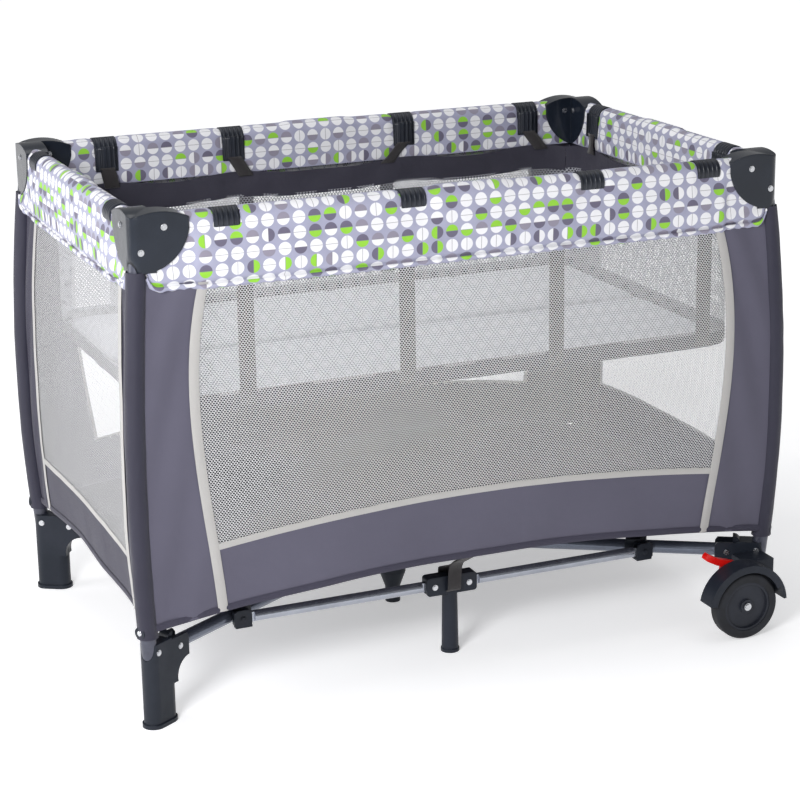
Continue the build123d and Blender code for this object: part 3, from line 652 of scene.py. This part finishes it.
# ---- walls: net window, side panels, bottom panel, tapes ----
WALL_TOP = 0.700
HEM_AT_POST = 0.150
TAPE_WIDTH = 0.015
PANEL_CLOTH = {"long": SLATE, "short": NAVY}
WALLS = {
    "long": {
        "tape": ((0.645, 0.412), (0.450, 0.430), (0.250, 0.408), (0.150, 0.396)),
        "window_bottom": (0.250, 0.294),
        "hem": (0.150, 0.187),
    },
    "short": {
        "tape": ((0.645, 0.243), (0.450, 0.254), (0.250, 0.248), (0.150, 0.242)),
        "window_bottom": (0.235, 0.252),
        "hem": (0.150, 0.168),
    },
}
REAR_WINDOW_BOTTOM = (0.218, 0.268)


def wall_of(side):
    return WALLS[kind_of(side)]


def tape_line(side, z):
    return through(wall_of(side)["tape"], z)


def arch(side, key, along):
    """An edge that rises from its ends to the middle of the side."""
    end, middle = wall_of(side)[key]
    if side == "rear" and key == "window_bottom":
        end, middle = REAR_WINDOW_BOTTOM
    share = along / half_span(side, end)
    return middle - (middle - end) * share * share


def wall_point(side, along, z, proud=0.0):
    """A place on the wall's cloth, with its slight unevenness."""
    seed = SIDES.index(side) + 1
    slack = 1 - (abs(along) / half_span(side, z)) ** 4
    uneven = ripple(along, z, seed, 0.16, 0.0022) + ripple(along, z, seed + 9, 0.05, 0.0008)
    low = max(0.0, 1 - (z - HEM_AT_POST) / 0.12)
    uneven += low * slack * (0.003 * sin(along * 21 + seed) - 0.004)
    return place(side, along, wall_out(side, z) + uneven * slack + proud, z)


def make_window(side):
    """The net window in the middle of a wall."""
    def point(s, t):
        near = mix(-1, 1, s) * tape_line(side, 0.30)
        z = mix(arch(side, "window_bottom", near), WALL_TOP, t)
        along = mix(-1, 1, s) * tape_line(side, min(z, 0.66))
        return wall_point(side, along, z), (along, z)
    columns = 48 if is_long(side) else 30
    piece = sheet_grid(f"window_net_{side}", 30, columns, point, WHITE_NET, flip=flipped(side))
    finish_cloth(piece, side)


def flipped(side):
    return side in ("rear", "left")


def finish_cloth(piece, side):
    declare_sheet(piece)
    fold_with_wall(piece, side)


def make_side_panel(side, end):
    """The close-woven panel between a post and the window's tape."""
    def point(s, t):
        z = mix(arch(side, "hem", 0.42 if is_long(side) else 0.25), WALL_TOP, t)
        inner = tape_line(side, min(z, 0.66)) - 0.002
        outer = half_span(side, z) - 0.009
        along = mix(inner, outer, s)
        z = mix(arch(side, "hem", along), WALL_TOP, t)
        tension = 0.0022 * sin((z * 9 + s * 2.4) * pi) * s * (1 - s) * 4
        return wall_point(side, end * along, z, tension), (end * along, z)
    name = f"side_panel_{side}_{'plus' if end > 0 else 'minus'}"
    piece = sheet_grid(name, 48, 10, point, PANEL_CLOTH[kind_of(side)], flip=flipped(side) == (end > 0))
    finish_cloth(piece, side)


def make_bottom_panel(side):
    """The close-woven panel between the hem and the window."""
    def point(s, t):
        reach = tape_line(side, 0.21)
        along = mix(-1, 1, s) * reach
        low, high = arch(side, "hem", along), arch(side, "window_bottom", along)
        z = mix(low, high + 0.002, t)
        along = mix(-1, 1, s) * tape_line(side, z)
        return wall_point(side, along, z), (along, z)
    material = PANEL_CLOTH[kind_of(side)]
    piece = sheet_grid(f"bottom_panel_{side}", 10, 56, point, material, flip=flipped(side))
    finish_cloth(piece, side)


def make_strip(name, side, centre, across, width, length, proud, material, steps=48):
    """A crowned tape on the wall: centre(t) is (along, z), and across is the direction of its width."""
    crown = (0.0003, 0.0011, 0.0013, 0.0011, 0.0003)

    def point(s, t):
        along, z = centre(t)
        offset = (s - 0.5) * width
        along, z = along + across[0] * offset, z + across[1] * offset
        lift = crown[round(s * 4)]
        return wall_point(side, along, z, proud + lift), (offset, t * length)
    finish_cloth(sheet_grid(name, steps, 4, point, material), side)


def make_tapes(side):
    """The pale tapes round a window, and the dark binding along the hem."""
    for end in (-1, 1):
        def upright(t, end=end):
            z = mix(arch(side, "hem", tape_line(side, 0.16)), WALL_TOP, t)
            return end * tape_line(side, min(z, 0.66)), z
        name = f"window_tape_{side}_{'plus' if end > 0 else 'minus'}"
        make_strip(name, side, upright, (1, 0), TAPE_WIDTH, 0.55, 0.0012, TAPE)

    def level(t):
        along = mix(-1, 1, t) * (tape_line(side, 0.25) - 0.004)
        return along, arch(side, "window_bottom", along)
    length = 2 * tape_line(side, 0.25)
    make_strip(f"window_tape_{side}_bottom", side, level, (0, 1), 0.0102, length, 0.0006, TAPE)

    def hem(t):
        along = mix(-1, 1, t) * (half_span(side, 0.16) - 0.010)
        return along, arch(side, "hem", along) + 0.004
    length = 2 * half_span(side, 0.16)
    make_strip(f"hem_binding_{side}", side, hem, (0, 1), 0.0104, length, 0.0008, NAVY, steps=72)


def make_sleeve(corner):
    """The cloth sleeve round a corner post, with the creases of a tight cover."""
    side_x, side_y = CORNERS[corner]
    top, rows, around = CAP_LOW.z + 0.002, 64, 28
    seed = 20 + list(CORNERS).index(corner)

    def point(s, t):
        z = mix(SLEEVE_BOTTOM, top, t)
        x, y = post_at(z)
        angle = 2 * pi * s
        radius = SLEEVE_RADIUS + ripple(cos(angle) * 0.1, z, seed, 0.035, 0.0006)
        radius += 0.0012 * smooth_step(1 - (z - SLEEVE_BOTTOM) / 0.006)
        x, y = x + radius * cos(angle), y + radius * sin(angle)
        return (side_x * x, side_y * y, z), (angle * SLEEVE_RADIUS, z)
    name = f"post_sleeve_{corner}"
    piece = sheet_grid(name, rows, around, point, SLEEVE_CLOTH, flip=side_x * side_y < 0)
    declare_sheet(piece)
    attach(piece, f"corner_{corner}")


def make_hem_screw(corner):
    """The domed steel screw in the end of the tab that holds the hem."""
    side_x, side_y = CORNERS[corner]
    outward = Vector((side_x * HEM_TAB.x, side_y * HEM_TAB.y, 0)).normalized()
    across = Vector((-outward.y, outward.x, 0))
    up = Vector((0, 0, 1))
    centre = Vector((side_x * END_X, side_y * END_Y, HEM_TAB.z)) + outward * HEM_TAB_REACH
    around = 20
    rings = ((0.0042, -0.0010), (0.0042, 0.0006), (0.0034, 0.0013), (0.0016, 0.0017), (0.0002, 0.0018))
    vertices, faces = [], []
    for radius, reach in rings:
        for i in range(around):
            angle = 2 * pi * i / around
            spoke = across * cos(angle) + up * sin(angle)
            vertices.append(centre + spoke * radius + outward * reach)
    for k in range(len(rings) - 1):
        for i in range(around):
            j = (i + 1) % around
            faces.append((k * around + i, k * around + j, (k + 1) * around + j, (k + 1) * around + i))
    faces.append(tuple(range(around))[::-1])
    faces.append(tuple((len(rings) - 1) * around + i for i in range(around)))
    piece = add_piece(f"hem_screw_{corner}", vertices, faces, STEEL)
    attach(piece, f"corner_{corner}")


for side in SIDES:
    make_window(side)
    make_bottom_panel(side)
    make_tapes(side)
    for end in (-1, 1):
        make_side_panel(side, end)
for corner in CORNERS:
    make_sleeve(corner)
    make_hem_screw(corner)


# ---- rail covers with their valance ----
COVER_INNER_Z = 0.681
VALANCE_BOTTOM = 0.645
ROLL_RADIUS = 0.0056
UNDER_CAP_OUT = 0.0163        # the cover lies inside the corner cap
VALANCE_CORNER = 0.020
LOCK_COVER = 0.036            # the part of a cover that stays on the lock


def clip_grip(side, along):
    """1 under a rail clip, 0 away from it."""
    nearest = min(abs(along - clip) for clip in CLIPS[side])
    return smooth_step(1 - (nearest - CLIP_LENGTH / 2 + 0.003) / 0.012)


def cover_end(side):
    """Where a cover ends, at the post's sleeve."""
    return half_span(side, 0.66) - SLEEVE_RADIUS + 0.003


def cap_end(side):
    """Where the corner cap starts, from the middle of the side."""
    return CAP_LOW.x if is_long(side) else CAP_LOW.y


def cap_share(side, along):
    """1 under a corner cap, 0 away from it."""
    return smooth_step((abs(along) - cap_end(side) + 0.014) / 0.012)


def valance_out(side, along, z, roll_z, radius):
    """How far the valance hangs outside the rail's axis at a height."""
    seed = SIDES.index(side) + 43
    near_cap = cap_share(side, along)
    near_end = smooth_step((abs(along) - cover_end(side) + 0.05) / 0.04)
    share = (RAIL_Z - z) / (RAIL_Z - roll_z)
    loose = 0.0195 + ripple(along, 0.3, seed, 0.10, 0.0022)
    loose = mix(radius, loose, smooth_step(share * 1.8))
    loose += sin(min(share, 1) * pi) * (0.002 + ripple(along, share * 0.1, seed, 0.06, 0.0018))
    below_cap = smooth_step((CAP_LOW.z + 0.002 - z) / 0.012)
    held = mix(UNDER_CAP_OUT, 0.0185 + 0.0025 * near_end, below_cap)
    crease = (z - roll_z - 0.0035) / 0.0035
    return mix(loose, held, near_cap) - 0.0042 * exp(-crease * crease)


def cover_profile(side, along):
    """The cover's section, from its inner edge over the rail to the rolled hem, as (out, z) points."""
    grip = clip_grip(side, along)
    at_lock = smooth_step(1 - (abs(along) - 0.046) / 0.02)
    radius = mix(COVER_RADIUS + 0.0022 * at_lock, CLIP_GRIP_RADIUS, grip)
    near_cap = cap_share(side, along)
    radius = mix(radius, UNDER_CAP_OUT, near_cap)
    seed = SIDES.index(side) + 40
    loose = 1 - near_cap
    gather = sin(along * 2 * pi / 0.0165 + 2 * sin(along * 31))
    bottom = VALANCE_BOTTOM + 0.003 * near_cap
    edge = cover_end(side) - abs(along)
    if edge < VALANCE_CORNER:
        bottom += VALANCE_CORNER - sqrt(max(VALANCE_CORNER ** 2 - (VALANCE_CORNER - edge) ** 2, 0))
    inner_fall = -(0.0180 + loose * ripple(along, 0.7, seed, 0.08, 0.0015))
    points = []
    for i in range(7):
        share = i / 6
        out = mix(inner_fall, -radius, smooth_step(share)) - sin(share * pi) * 0.0015 * loose
        points.append((out, mix(COVER_INNER_Z, RAIL_Z, share)))
    for i in range(1, 12):
        angle = pi - pi * i / 12
        points.append((radius * cos(angle), RAIL_Z + radius * sin(angle)))
    roll_z = bottom + ROLL_RADIUS
    steps = [i / 13 * 0.86 for i in range(14)] + [0.885, 0.91, 0.93, 0.95, 0.965, 0.98]
    for share in steps:
        z = mix(RAIL_Z, roll_z, share)
        out = valance_out(side, along, z, roll_z, radius) + 0.0006 * gather * share ** 6
        points.append((out, z))
    roll = ROLL_RADIUS * (1 + 0.16 * gather)
    fall = valance_out(side, along, roll_z - 0.006, roll_z, radius) + 0.0005
    for i in range(1, 13):
        angle = radians(50) - radians(25) * i
        points.append((fall - ROLL_RADIUS + roll * cos(angle), roll_z + roll * sin(angle)))
    return points


def make_cover(side, start, stop, body, name):
    """A stretch of rail cover that moves with one half rail or lock."""
    columns = max(6, round((stop - start) / 0.0045))
    axis = RAIL_OUT[kind_of(side)]
    rows = len(cover_profile(side, 0.0)) - 1

    profiles = []
    for i in range(columns + 1):
        along = mix(start, stop, i / columns)
        profiles.append((along, cover_profile(side, along)))
    flat = [0.0]
    reference = cover_profile(side, 0.30 if is_long(side) else 0.12)
    for (a, b), (c, d) in zip(reference, reference[1:]):
        flat.append(flat[-1] + hypot(c - a, d - b))

    def point(s, t):
        along, profile = profiles[round(s * columns)]
        k = round(t * rows)
        out, z = profile[k]
        return place(side, along, axis + out, z), (along, flat[k])
    piece = sheet_grid(f"rail_cover_{name}", rows, columns, point, PRINT, flip=not flipped(side))
    declare_sheet(piece)
    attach(piece, body)
    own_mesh(piece)


for side in SIDES:
    near, far = ("left", "right") if is_long(side) else ("front", "rear")
    end = cover_end(side)
    make_cover(side, -end, -LOCK_COVER, f"rail_{side}_{near}", f"{side}_{near}")
    make_cover(side, -LOCK_COVER, LOCK_COVER, f"lock_{side}", f"{side}_middle")
    make_cover(side, LOCK_COVER, end, f"rail_{side}_{far}", f"{side}_{far}")


# ---- clip tongues inside the rails, and the webbing that the bassinet hangs on ----
WEBBING_WIDTH = 0.025
BAND_TOP = 0.684
BAND_BOTTOM = 0.641
LOWER_BAND_TOP = 0.482
BASSINET_BOTTOM = LINER_LOW.z + 0.010
TONGUE_TIP = 0.703
BASSINET_HALF = {"long": (LINER_HIGH.x, LINER_HIGH.y), "short": (LINER_HIGH.y, LINER_HIGH.x)}
BASSINET_CORNER = 0.055


def rail_body(side, along):
    if is_long(side):
        return f"rail_{side}_{'left' if along < 0 else 'right'}"
    return f"rail_{side}_{'front' if along < 0 else 'rear'}"


def bassinet_out(side, along):
    """Outward distance of the bassinet's wall, rounded at its corners."""
    half, out = BASSINET_HALF[kind_of(side)]
    past = abs(along) - (half - BASSINET_CORNER)
    if past <= 0:
        return out
    return out - BASSINET_CORNER + sqrt(max(BASSINET_CORNER ** 2 - past ** 2, 0))


def side_axes(side):
    """The directions along a side and into the yard."""
    return Vector(place(side, 1, 0, 0)), -Vector(place(side, 0, 1, 0))


def plate(name, corners_at, material, thickness):
    """A thin closed strip: corners_at(t) gives a middle point, half a width and an outward vector."""
    steps = 10
    vertices, uvs, faces = [], [], []
    length, last = 0.0, None
    for j in range(steps + 1):
        middle, half, outward = corners_at(j / steps)
        length += (middle - last).length if last is not None else 0.0
        last = middle
        for a, b in ((-1, -0.5), (-0.96, 0.5), (0.96, 0.5), (1, -0.5)):
            vertices.append(middle + half * a + outward * b * thickness)
            uvs.append((a * half.length, length))
    for j in range(steps):
        for i in range(4):
            k = (i + 1) % 4
            faces.append((j * 4 + i, j * 4 + k, j * 4 + 4 + k, j * 4 + 4 + i))
    faces.append((3, 2, 1, 0))
    faces.append(tuple(steps * 4 + i for i in range(4)))
    return add_piece(name, vertices, faces, material, uvs)


def make_clip_tongue(side, index, along):
    """The long inner leg of a rail clip, with the slot that the webbing is sewn through."""
    axis = RAIL_OUT[kind_of(side)]
    direction, inward = side_axes(side)

    def leg(t):
        z = mix(RAIL_Z + 0.004, TONGUE_TIP, t)
        out = axis - CLIP_RADIUS - 0.0014 - 0.0012 * t
        return Vector(place(side, along, out, z)), direction * (CLIP_LENGTH / 2), inward
    piece = plate(f"clip_leg_{side}_{index}", leg, CLIP_PLASTIC[kind_of(side)], 0.003)
    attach(piece, rail_body(side, along))


def make_webbing(side, index, along):
    """From a clip's leg down to the bassinet's band and, on the long sides, on down outside its net."""
    axis = RAIL_OUT[kind_of(side)]
    direction, inward = side_axes(side)
    lean = WEBBING_LEAN[side][index]

    def upper(t):
        z = mix(TONGUE_TIP + 0.006, BAND_TOP - 0.008, t)
        out = mix(axis - CLIP_RADIUS - 0.0035, bassinet_out(side, along) - 0.004, t)
        twist = direction + inward * 0.25 * sin(t * pi) * (1 if lean > 0 else -1)
        half = twist.normalized() * (WEBBING_WIDTH / 2)
        return Vector(place(side, along + lean * t, out, z)), half, inward

    piece = plate(f"webbing_{side}_{index}_upper", upper, WEBBING, 0.0016)
    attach(piece, rail_body(side, along))
    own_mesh(piece)

    if not is_long(side):
        return

    def lower(t):
        z = mix(BAND_TOP - 0.012, BASSINET_BOTTOM + 0.004, t)
        out = bassinet_out(side, along) + 0.0022
        half = direction * (WEBBING_WIDTH / 2)
        return Vector(place(side, along + lean, out, z)), half, -inward

    piece = plate(f"webbing_{side}_{index}_lower", lower, WEBBING, 0.0014)
    fold_with_wall(piece, side)


for side in SIDES:
    for index, along in enumerate(CLIPS[side]):
        make_clip_tongue(side, index, along)
        make_webbing(side, index, along)


# ---- bassinet: dark bands, net walls, floor ----
def bassinet_point(side, along, z, slack):
    """A place on the bassinet's wall, uneven by its slack, and its place on the flat cloth."""
    seed = SIDES.index(side) + 60
    out = bassinet_out(side, along) + slack * ripple(along, z, seed, 0.05, 0.003)
    return place(side, along, out, z), (along, z)


def bassinet_reach(side):
    """A side's part of the bassinet's wall ends half-way round its corner."""
    half, _ = BASSINET_HALF[kind_of(side)]
    return half - BASSINET_CORNER * (1 - sin(pi / 4))


def band_edge(side, along, level, sag):
    """The edge of a band dips between the webbing and rises at the corners."""
    nearest = min(abs(along - clip) for clip in CLIPS[side])
    return level - sag * smooth_step(nearest / 0.11)


def make_bassinet_wall(side):
    """A side of the bassinet: a dark band, a net below it and a dark band at the floor."""
    reach = bassinet_reach(side)
    columns = 90 if is_long(side) else 60

    def band(s, t):
        along = mix(-reach, reach, s)
        z = mix(band_edge(side, along, BAND_BOTTOM, 0.006), band_edge(side, along, BAND_TOP, 0.008), t)
        return bassinet_point(side, along, z, 1.0 + sin(t * pi))

    def net(s, t):
        along = mix(-reach, reach, s)
        z = mix(LOWER_BAND_TOP - 0.004, band_edge(side, along, BAND_BOTTOM, 0.006) + 0.004, t)
        return bassinet_point(side, along, z, 0.8 * sin(t * pi))

    def lower(s, t):
        along = mix(-reach, reach, s)
        return bassinet_point(side, along, mix(BASSINET_BOTTOM, LOWER_BAND_TOP, t), 0.6)

    for name, point, rows, material in (
        ("band", band, 10, DARK_LINING),
        ("net", net, 16, BASSINET_NET_PAINTED_SHADE),
        ("base_band", lower, 6, DARK_LINING),
    ):
        piece = sheet_grid(f"bassinet_{name}_{side}", rows, columns, point, material, flip=flipped(side))
        declare_sheet(piece)
        fold_with_wall(piece, side)


for side in SIDES:
    make_bassinet_wall(side)

BASSINET_BODY = {-1: "bassinet_base_front", 1: "bassinet_base_rear"}


def fold_with_base(piece, sign):
    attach(piece, BASSINET_BODY[sign])
    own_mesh(piece)


def make_bassinet_floor(sign):
    """Half of the bassinet's floor cloth, on the fold line under the mattress."""
    def point(s, t):
        x = mix(-1, 1, s) * (LINER_HIGH.x - 0.004)
        y = sign * mix(0.0005, LINER_HIGH.y - 0.003, t)
        cut = max(abs(x) - (LINER_HIGH.x - BASSINET_CORNER), 0)
        limit = bassinet_out("front", abs(x)) - 0.003 if cut else LINER_HIGH.y - 0.003
        y = sign * min(abs(y), limit)
        return (x, y, BASSINET_BOTTOM + 0.0005), (x, y)
    name = "front" if sign < 0 else "rear"
    piece = sheet_grid(f"bassinet_floor_{name}", 16, 48, point, DARK_LINING, flip=sign < 0)
    declare_sheet(piece)
    fold_with_base(piece, sign)


# ---- mattress: two padded halves ----
PAD_INSET = 0.004
PAD_CROWN_LIMIT = 0.006
PAD_CELL = 0.009


def pad_block(sign):
    """A flat closed pad with rounded corners, a little inside its space."""
    work = bmesh.new()
    half_x = PAD_HIGH.x - PAD_INSET
    y_low, y_high = PAD_LOW.y + PAD_INSET, PAD_HIGH.y - PAD_INSET
    radius, steps = 0.022, 6
    outline = []
    for centre_x, centre_y, start in (
        (half_x - radius, y_high - radius, 0), (-half_x + radius, y_high - radius, 90),
        (-half_x + radius, y_low + radius, 180), (half_x - radius, y_low + radius, 270),
    ):
        for i in range(steps + 1):
            angle = radians(start + 90 * i / steps)
            outline.append((centre_x + radius * cos(angle), (centre_y + radius * sin(angle)) * sign))
    z_low, z_high = BASSINET_BOTTOM + 0.003, PAD_HIGH.z - 0.003
    bottom = work.faces.new([work.verts.new((x, y, z_low)) for x, y in outline])
    extruded = bmesh.ops.extrude_face_region(work, geom=[bottom])["geom"]
    bmesh.ops.translate(work, verts=[g for g in extruded if isinstance(g, bmesh.types.BMVert)],
                        vec=(0, 0, z_high - z_low))
    bmesh.ops.recalc_face_normals(work, faces=work.faces)
    mesh = bpy.data.meshes.new("pad")
    work.to_mesh(mesh)
    work.free()
    piece = bpy.data.objects.new("pad", mesh)
    bpy.context.scene.collection.objects.link(piece)
    return piece


def apply_all(piece):
    """Replaces a piece's mesh with what its modifiers make of it."""
    graph = bpy.context.evaluated_depsgraph_get()
    mesh = bpy.data.meshes.new_from_object(piece.evaluated_get(graph))
    piece.modifiers.clear()
    piece.data = mesh


def plump(piece, pressure, limit, frames=20):
    """Blows the pad up a little as cloth, and caps how far each point goes."""
    rest = [v.co.copy() for v in piece.data.vertices]
    cloth = piece.modifiers.new("cloth", "CLOTH")
    cloth.settings.quality = 6
    cloth.settings.use_pressure = True
    cloth.settings.uniform_pressure_force = pressure
    cloth.settings.effector_weights.gravity = 0
    cloth.settings.tension_stiffness = 25
    cloth.settings.bending_stiffness = 0.6
    scene = bpy.context.scene
    for number in range(1, frames + 1):
        scene.frame_set(number)
    apply_all(piece)
    scene.frame_set(1)
    for vertex, start in zip(piece.data.vertices, rest):
        move = vertex.co - start
        if move.length > limit:
            vertex.co = start + move.normalized() * limit


def make_mattress(sign):
    piece = pad_block(sign)
    remesh = piece.modifiers.new("remesh", "REMESH")
    remesh.mode = "VOXEL"
    remesh.voxel_size = PAD_CELL
    apply_all(piece)
    plump(piece, 3.0, PAD_CROWN_LIMIT)
    name = "front" if sign < 0 else "rear"
    piece.name = piece.data.name = f"mattress_pad_{name}"
    for vertex in piece.data.vertices:
        press_quilting(vertex, sign)
    layer = piece.data.uv_layers.new(name="UVMap")
    for loop in piece.data.loops:
        layer.data[loop.index].uv = piece.data.vertices[loop.vertex_index].co.xy
    piece.data.materials.clear()
    piece.data.materials.append(PAD_CLOTH)
    piece.data.shade_smooth()
    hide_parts(f"mattress_{name}")
    fold_with_base(piece, sign)


QUILT_LINES = (-0.2315, 0.0, 0.2315)
QUILT_DEPTH = 0.006


def press_quilting(vertex, sign):
    """Sewn channels across the pad, and its edges kept within its space."""
    top = vertex.co.z > (PAD_LOW.z + PAD_HIGH.z) / 2
    for line in QUILT_LINES:
        groove = max(0.0, 1 - abs(vertex.co.x - line) / 0.012)
        if top:
            vertex.co.z -= QUILT_DEPTH * groove * groove
    vertex.co.z = min(max(vertex.co.z, BASSINET_BOTTOM + 0.0012), PAD_HIGH.z + 0.003)
    vertex.co.y = sign * min(max(sign * vertex.co.y, PAD_LOW.y), PAD_HIGH.y)
    vertex.co.x = min(max(vertex.co.x, PAD_LOW.x), PAD_HIGH.x)


for sign in (-1, 1):
    make_bassinet_floor(sign)
    make_mattress(sign)


# ---- yard floor: four quarters, each on its diagonal tube ----
FLOOR_Z = FLOOR_HIGH.z - 0.001
FLOOR_RISE_X = 0.36           # the floor cloth starts to rise to the hem from here outward
FLOOR_RISE_Y = 0.11
FLOOR_CORNER_CUT = 1.92       # the corner next to a post is cut off


def make_floor_quarter(corner):
    """A quarter of the yard's floor cloth, lifted at its edges to the hem that it is sewn to."""
    side_x, side_y = CORNERS[corner]
    edge_x = wall_out("right", HEM_AT_POST) - 0.006
    edge_y = wall_out("rear", HEM_AT_POST) - 0.006

    def point(s, t):
        shrink = 1 - 0.5 * max(0.0, s + t - FLOOR_CORNER_CUT)
        x, y = s * edge_x * shrink, t * edge_y * shrink
        sag = 0.002 * sin(s * pi) * sin(t * pi)
        rise_long = arch("rear", "hem", x) + 0.003 - FLOOR_Z
        rise_short = arch("right", "hem", y) + 0.003 - FLOOR_Z
        up_long = rise_long * smooth_step((y - FLOOR_RISE_Y) / (edge_y - FLOOR_RISE_Y))
        up_short = rise_short * smooth_step((x - FLOOR_RISE_X) / (edge_x - FLOOR_RISE_X))
        z = FLOOR_Z - sag + ripple(x, y, 90, 0.09, 0.0008) + max(up_long, up_short)
        return (side_x * x, side_y * y, z), (side_x * x, side_y * y)
    piece = sheet_grid(f"yard_floor_{corner}", 32, 44, point, FLOOR_CLOTH, flip=side_x * side_y < 0)
    declare_sheet(piece)
    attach(piece, f"diagonal_{corner}")
    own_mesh(piece)


# ---- webbing loops that tie the hem to the middle legs ----
LOOP_WIDTH = 0.023


def make_leg_loop(end):
    """A webbing loop from the hem, down round the middle leg's bracket and back."""
    low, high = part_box(f"mid_leg_{end}")
    sign = SIGN[end]
    inner, outer = sorted((sign * low.y, sign * high.y))
    hem_y = wall_out(end, 0.187)
    top, bottom, bend = 0.1865, 0.1035, 0.004
    route = [
        (hem_y - 0.002, top), (outer + bend + 0.006, 0.160), (outer + bend, 0.131),
        (outer + bend, bottom + bend), (outer, bottom), (inner, bottom),
        (inner - bend, bottom + bend), (inner - bend, 0.130), (inner - 0.002, 0.1345),
        (inner + 0.006, 0.1365), (outer + 0.002, 0.146), (hem_y - 0.005, top),
    ]
    lengths = [0.0]
    for (a, b), (c, d) in zip(route, route[1:]):
        lengths.append(lengths[-1] + hypot(c - a, d - b))

    def point(s, t):
        k = round(t * (len(route) - 1))
        across = (s - 0.5) * LOOP_WIDTH
        y, z = route[k]
        return (across, sign * y, z), (across, lengths[k])
    piece = sheet_grid(f"leg_loop_{end}", len(route) - 1, 4, point, WEBBING)
    thick = piece.modifiers.new("thickness", "SOLIDIFY")
    thick.thickness = 0.0014
    soften = piece.modifiers.new("soften", "SUBSURF")
    soften.levels = soften.render_levels = 2
    apply_all(piece)
    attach(piece, f"mid_leg_{end}")


for corner in CORNERS:
    make_floor_quarter(corner)
for end in LONG_SIDES:
    make_leg_loop(end)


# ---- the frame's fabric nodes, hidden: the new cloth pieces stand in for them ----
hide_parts("wall_panels")
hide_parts("rail_covers")
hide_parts("bassinet_liner")
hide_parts("yard_floor")


# ---- studio: floor, light, camera ----
GROUND_HALF = 20.0
WORLD_LIGHT = 0.30            # how strongly the world lights the yard
WORLD_SEEN = 1.05             # how bright the world is behind it


def make_studio():
    """A wide white floor, a world that is brighter to the camera than to the yard, and three soft lamps."""
    def point(s, t):
        return ((s - 0.5) * GROUND_HALF * 2, (t - 0.5) * GROUND_HALF * 2, 0.0), (s, t)
    sheet_grid("studio_ground", 8, 8, point, floor_material())
    world = bpy.data.worlds.new("studio")
    world.use_nodes = True
    nodes, links = world.node_tree.nodes, world.node_tree.links
    nodes["Background"].inputs["Color"].default_value = (0.97, 0.98, 1.0, 1)
    seen = nodes.new("ShaderNodeLightPath").outputs["Is Camera Ray"]
    strength = nodes.new("ShaderNodeMapRange")
    strength.inputs["To Min"].default_value = WORLD_LIGHT
    strength.inputs["To Max"].default_value = WORLD_SEEN
    links.new(seen, strength.inputs["Value"])
    links.new(strength.outputs["Result"], nodes["Background"].inputs["Strength"])
    bpy.context.scene.world = world
    bpy.context.scene.view_settings.view_transform = "Standard"
    for name, spot, power, width in (
        ("key", (-1.7, -1.8, 1.5), 48, 0.7),
        ("side", (-2.6, 0.4, 1.0), 24, 1.4),
        ("top", (0.2, 0.5, 3.2), 34, 3.0),
    ):
        data = bpy.data.lights.new(name, "AREA")
        data.energy, data.size = power, width
        lamp = bpy.data.objects.new(name, data)
        lamp.location = spot
        aim = Vector((0, 0, 0.4)) - lamp.location
        lamp.rotation_euler = aim.to_track_quat("-Z", "Y").to_euler()
        bpy.context.scene.collection.objects.link(lamp)


CAMERA_SPOT = (-1.3188, -3.2142, 1.3740)
CAMERA_TURN, CAMERA_DIP, CAMERA_ROLL = radians(22.59), radians(16.49), radians(-0.89)
CAMERA_LENS = 100.86


def make_camera():
    level = cos(CAMERA_DIP)
    forward = Vector((sin(CAMERA_TURN) * level, cos(CAMERA_TURN) * level, -sin(CAMERA_DIP)))
    right = forward.cross(Vector((0, 0, 1))).normalized()
    up = right.cross(forward)
    tilted_right = right * cos(CAMERA_ROLL) + up * sin(CAMERA_ROLL)
    tilted_up = up * cos(CAMERA_ROLL) - right * sin(CAMERA_ROLL)
    data = bpy.data.cameras.new("camera")
    data.lens, data.sensor_width = CAMERA_LENS, 36.0
    camera = bpy.data.objects.new("camera", data)
    camera.matrix_world = Matrix((tilted_right, tilted_up, -forward)).transposed().to_4x4()
    camera.location = CAMERA_SPOT
    bpy.context.scene.collection.objects.link(camera)
    bpy.context.scene.camera = camera


make_studio()
make_camera()
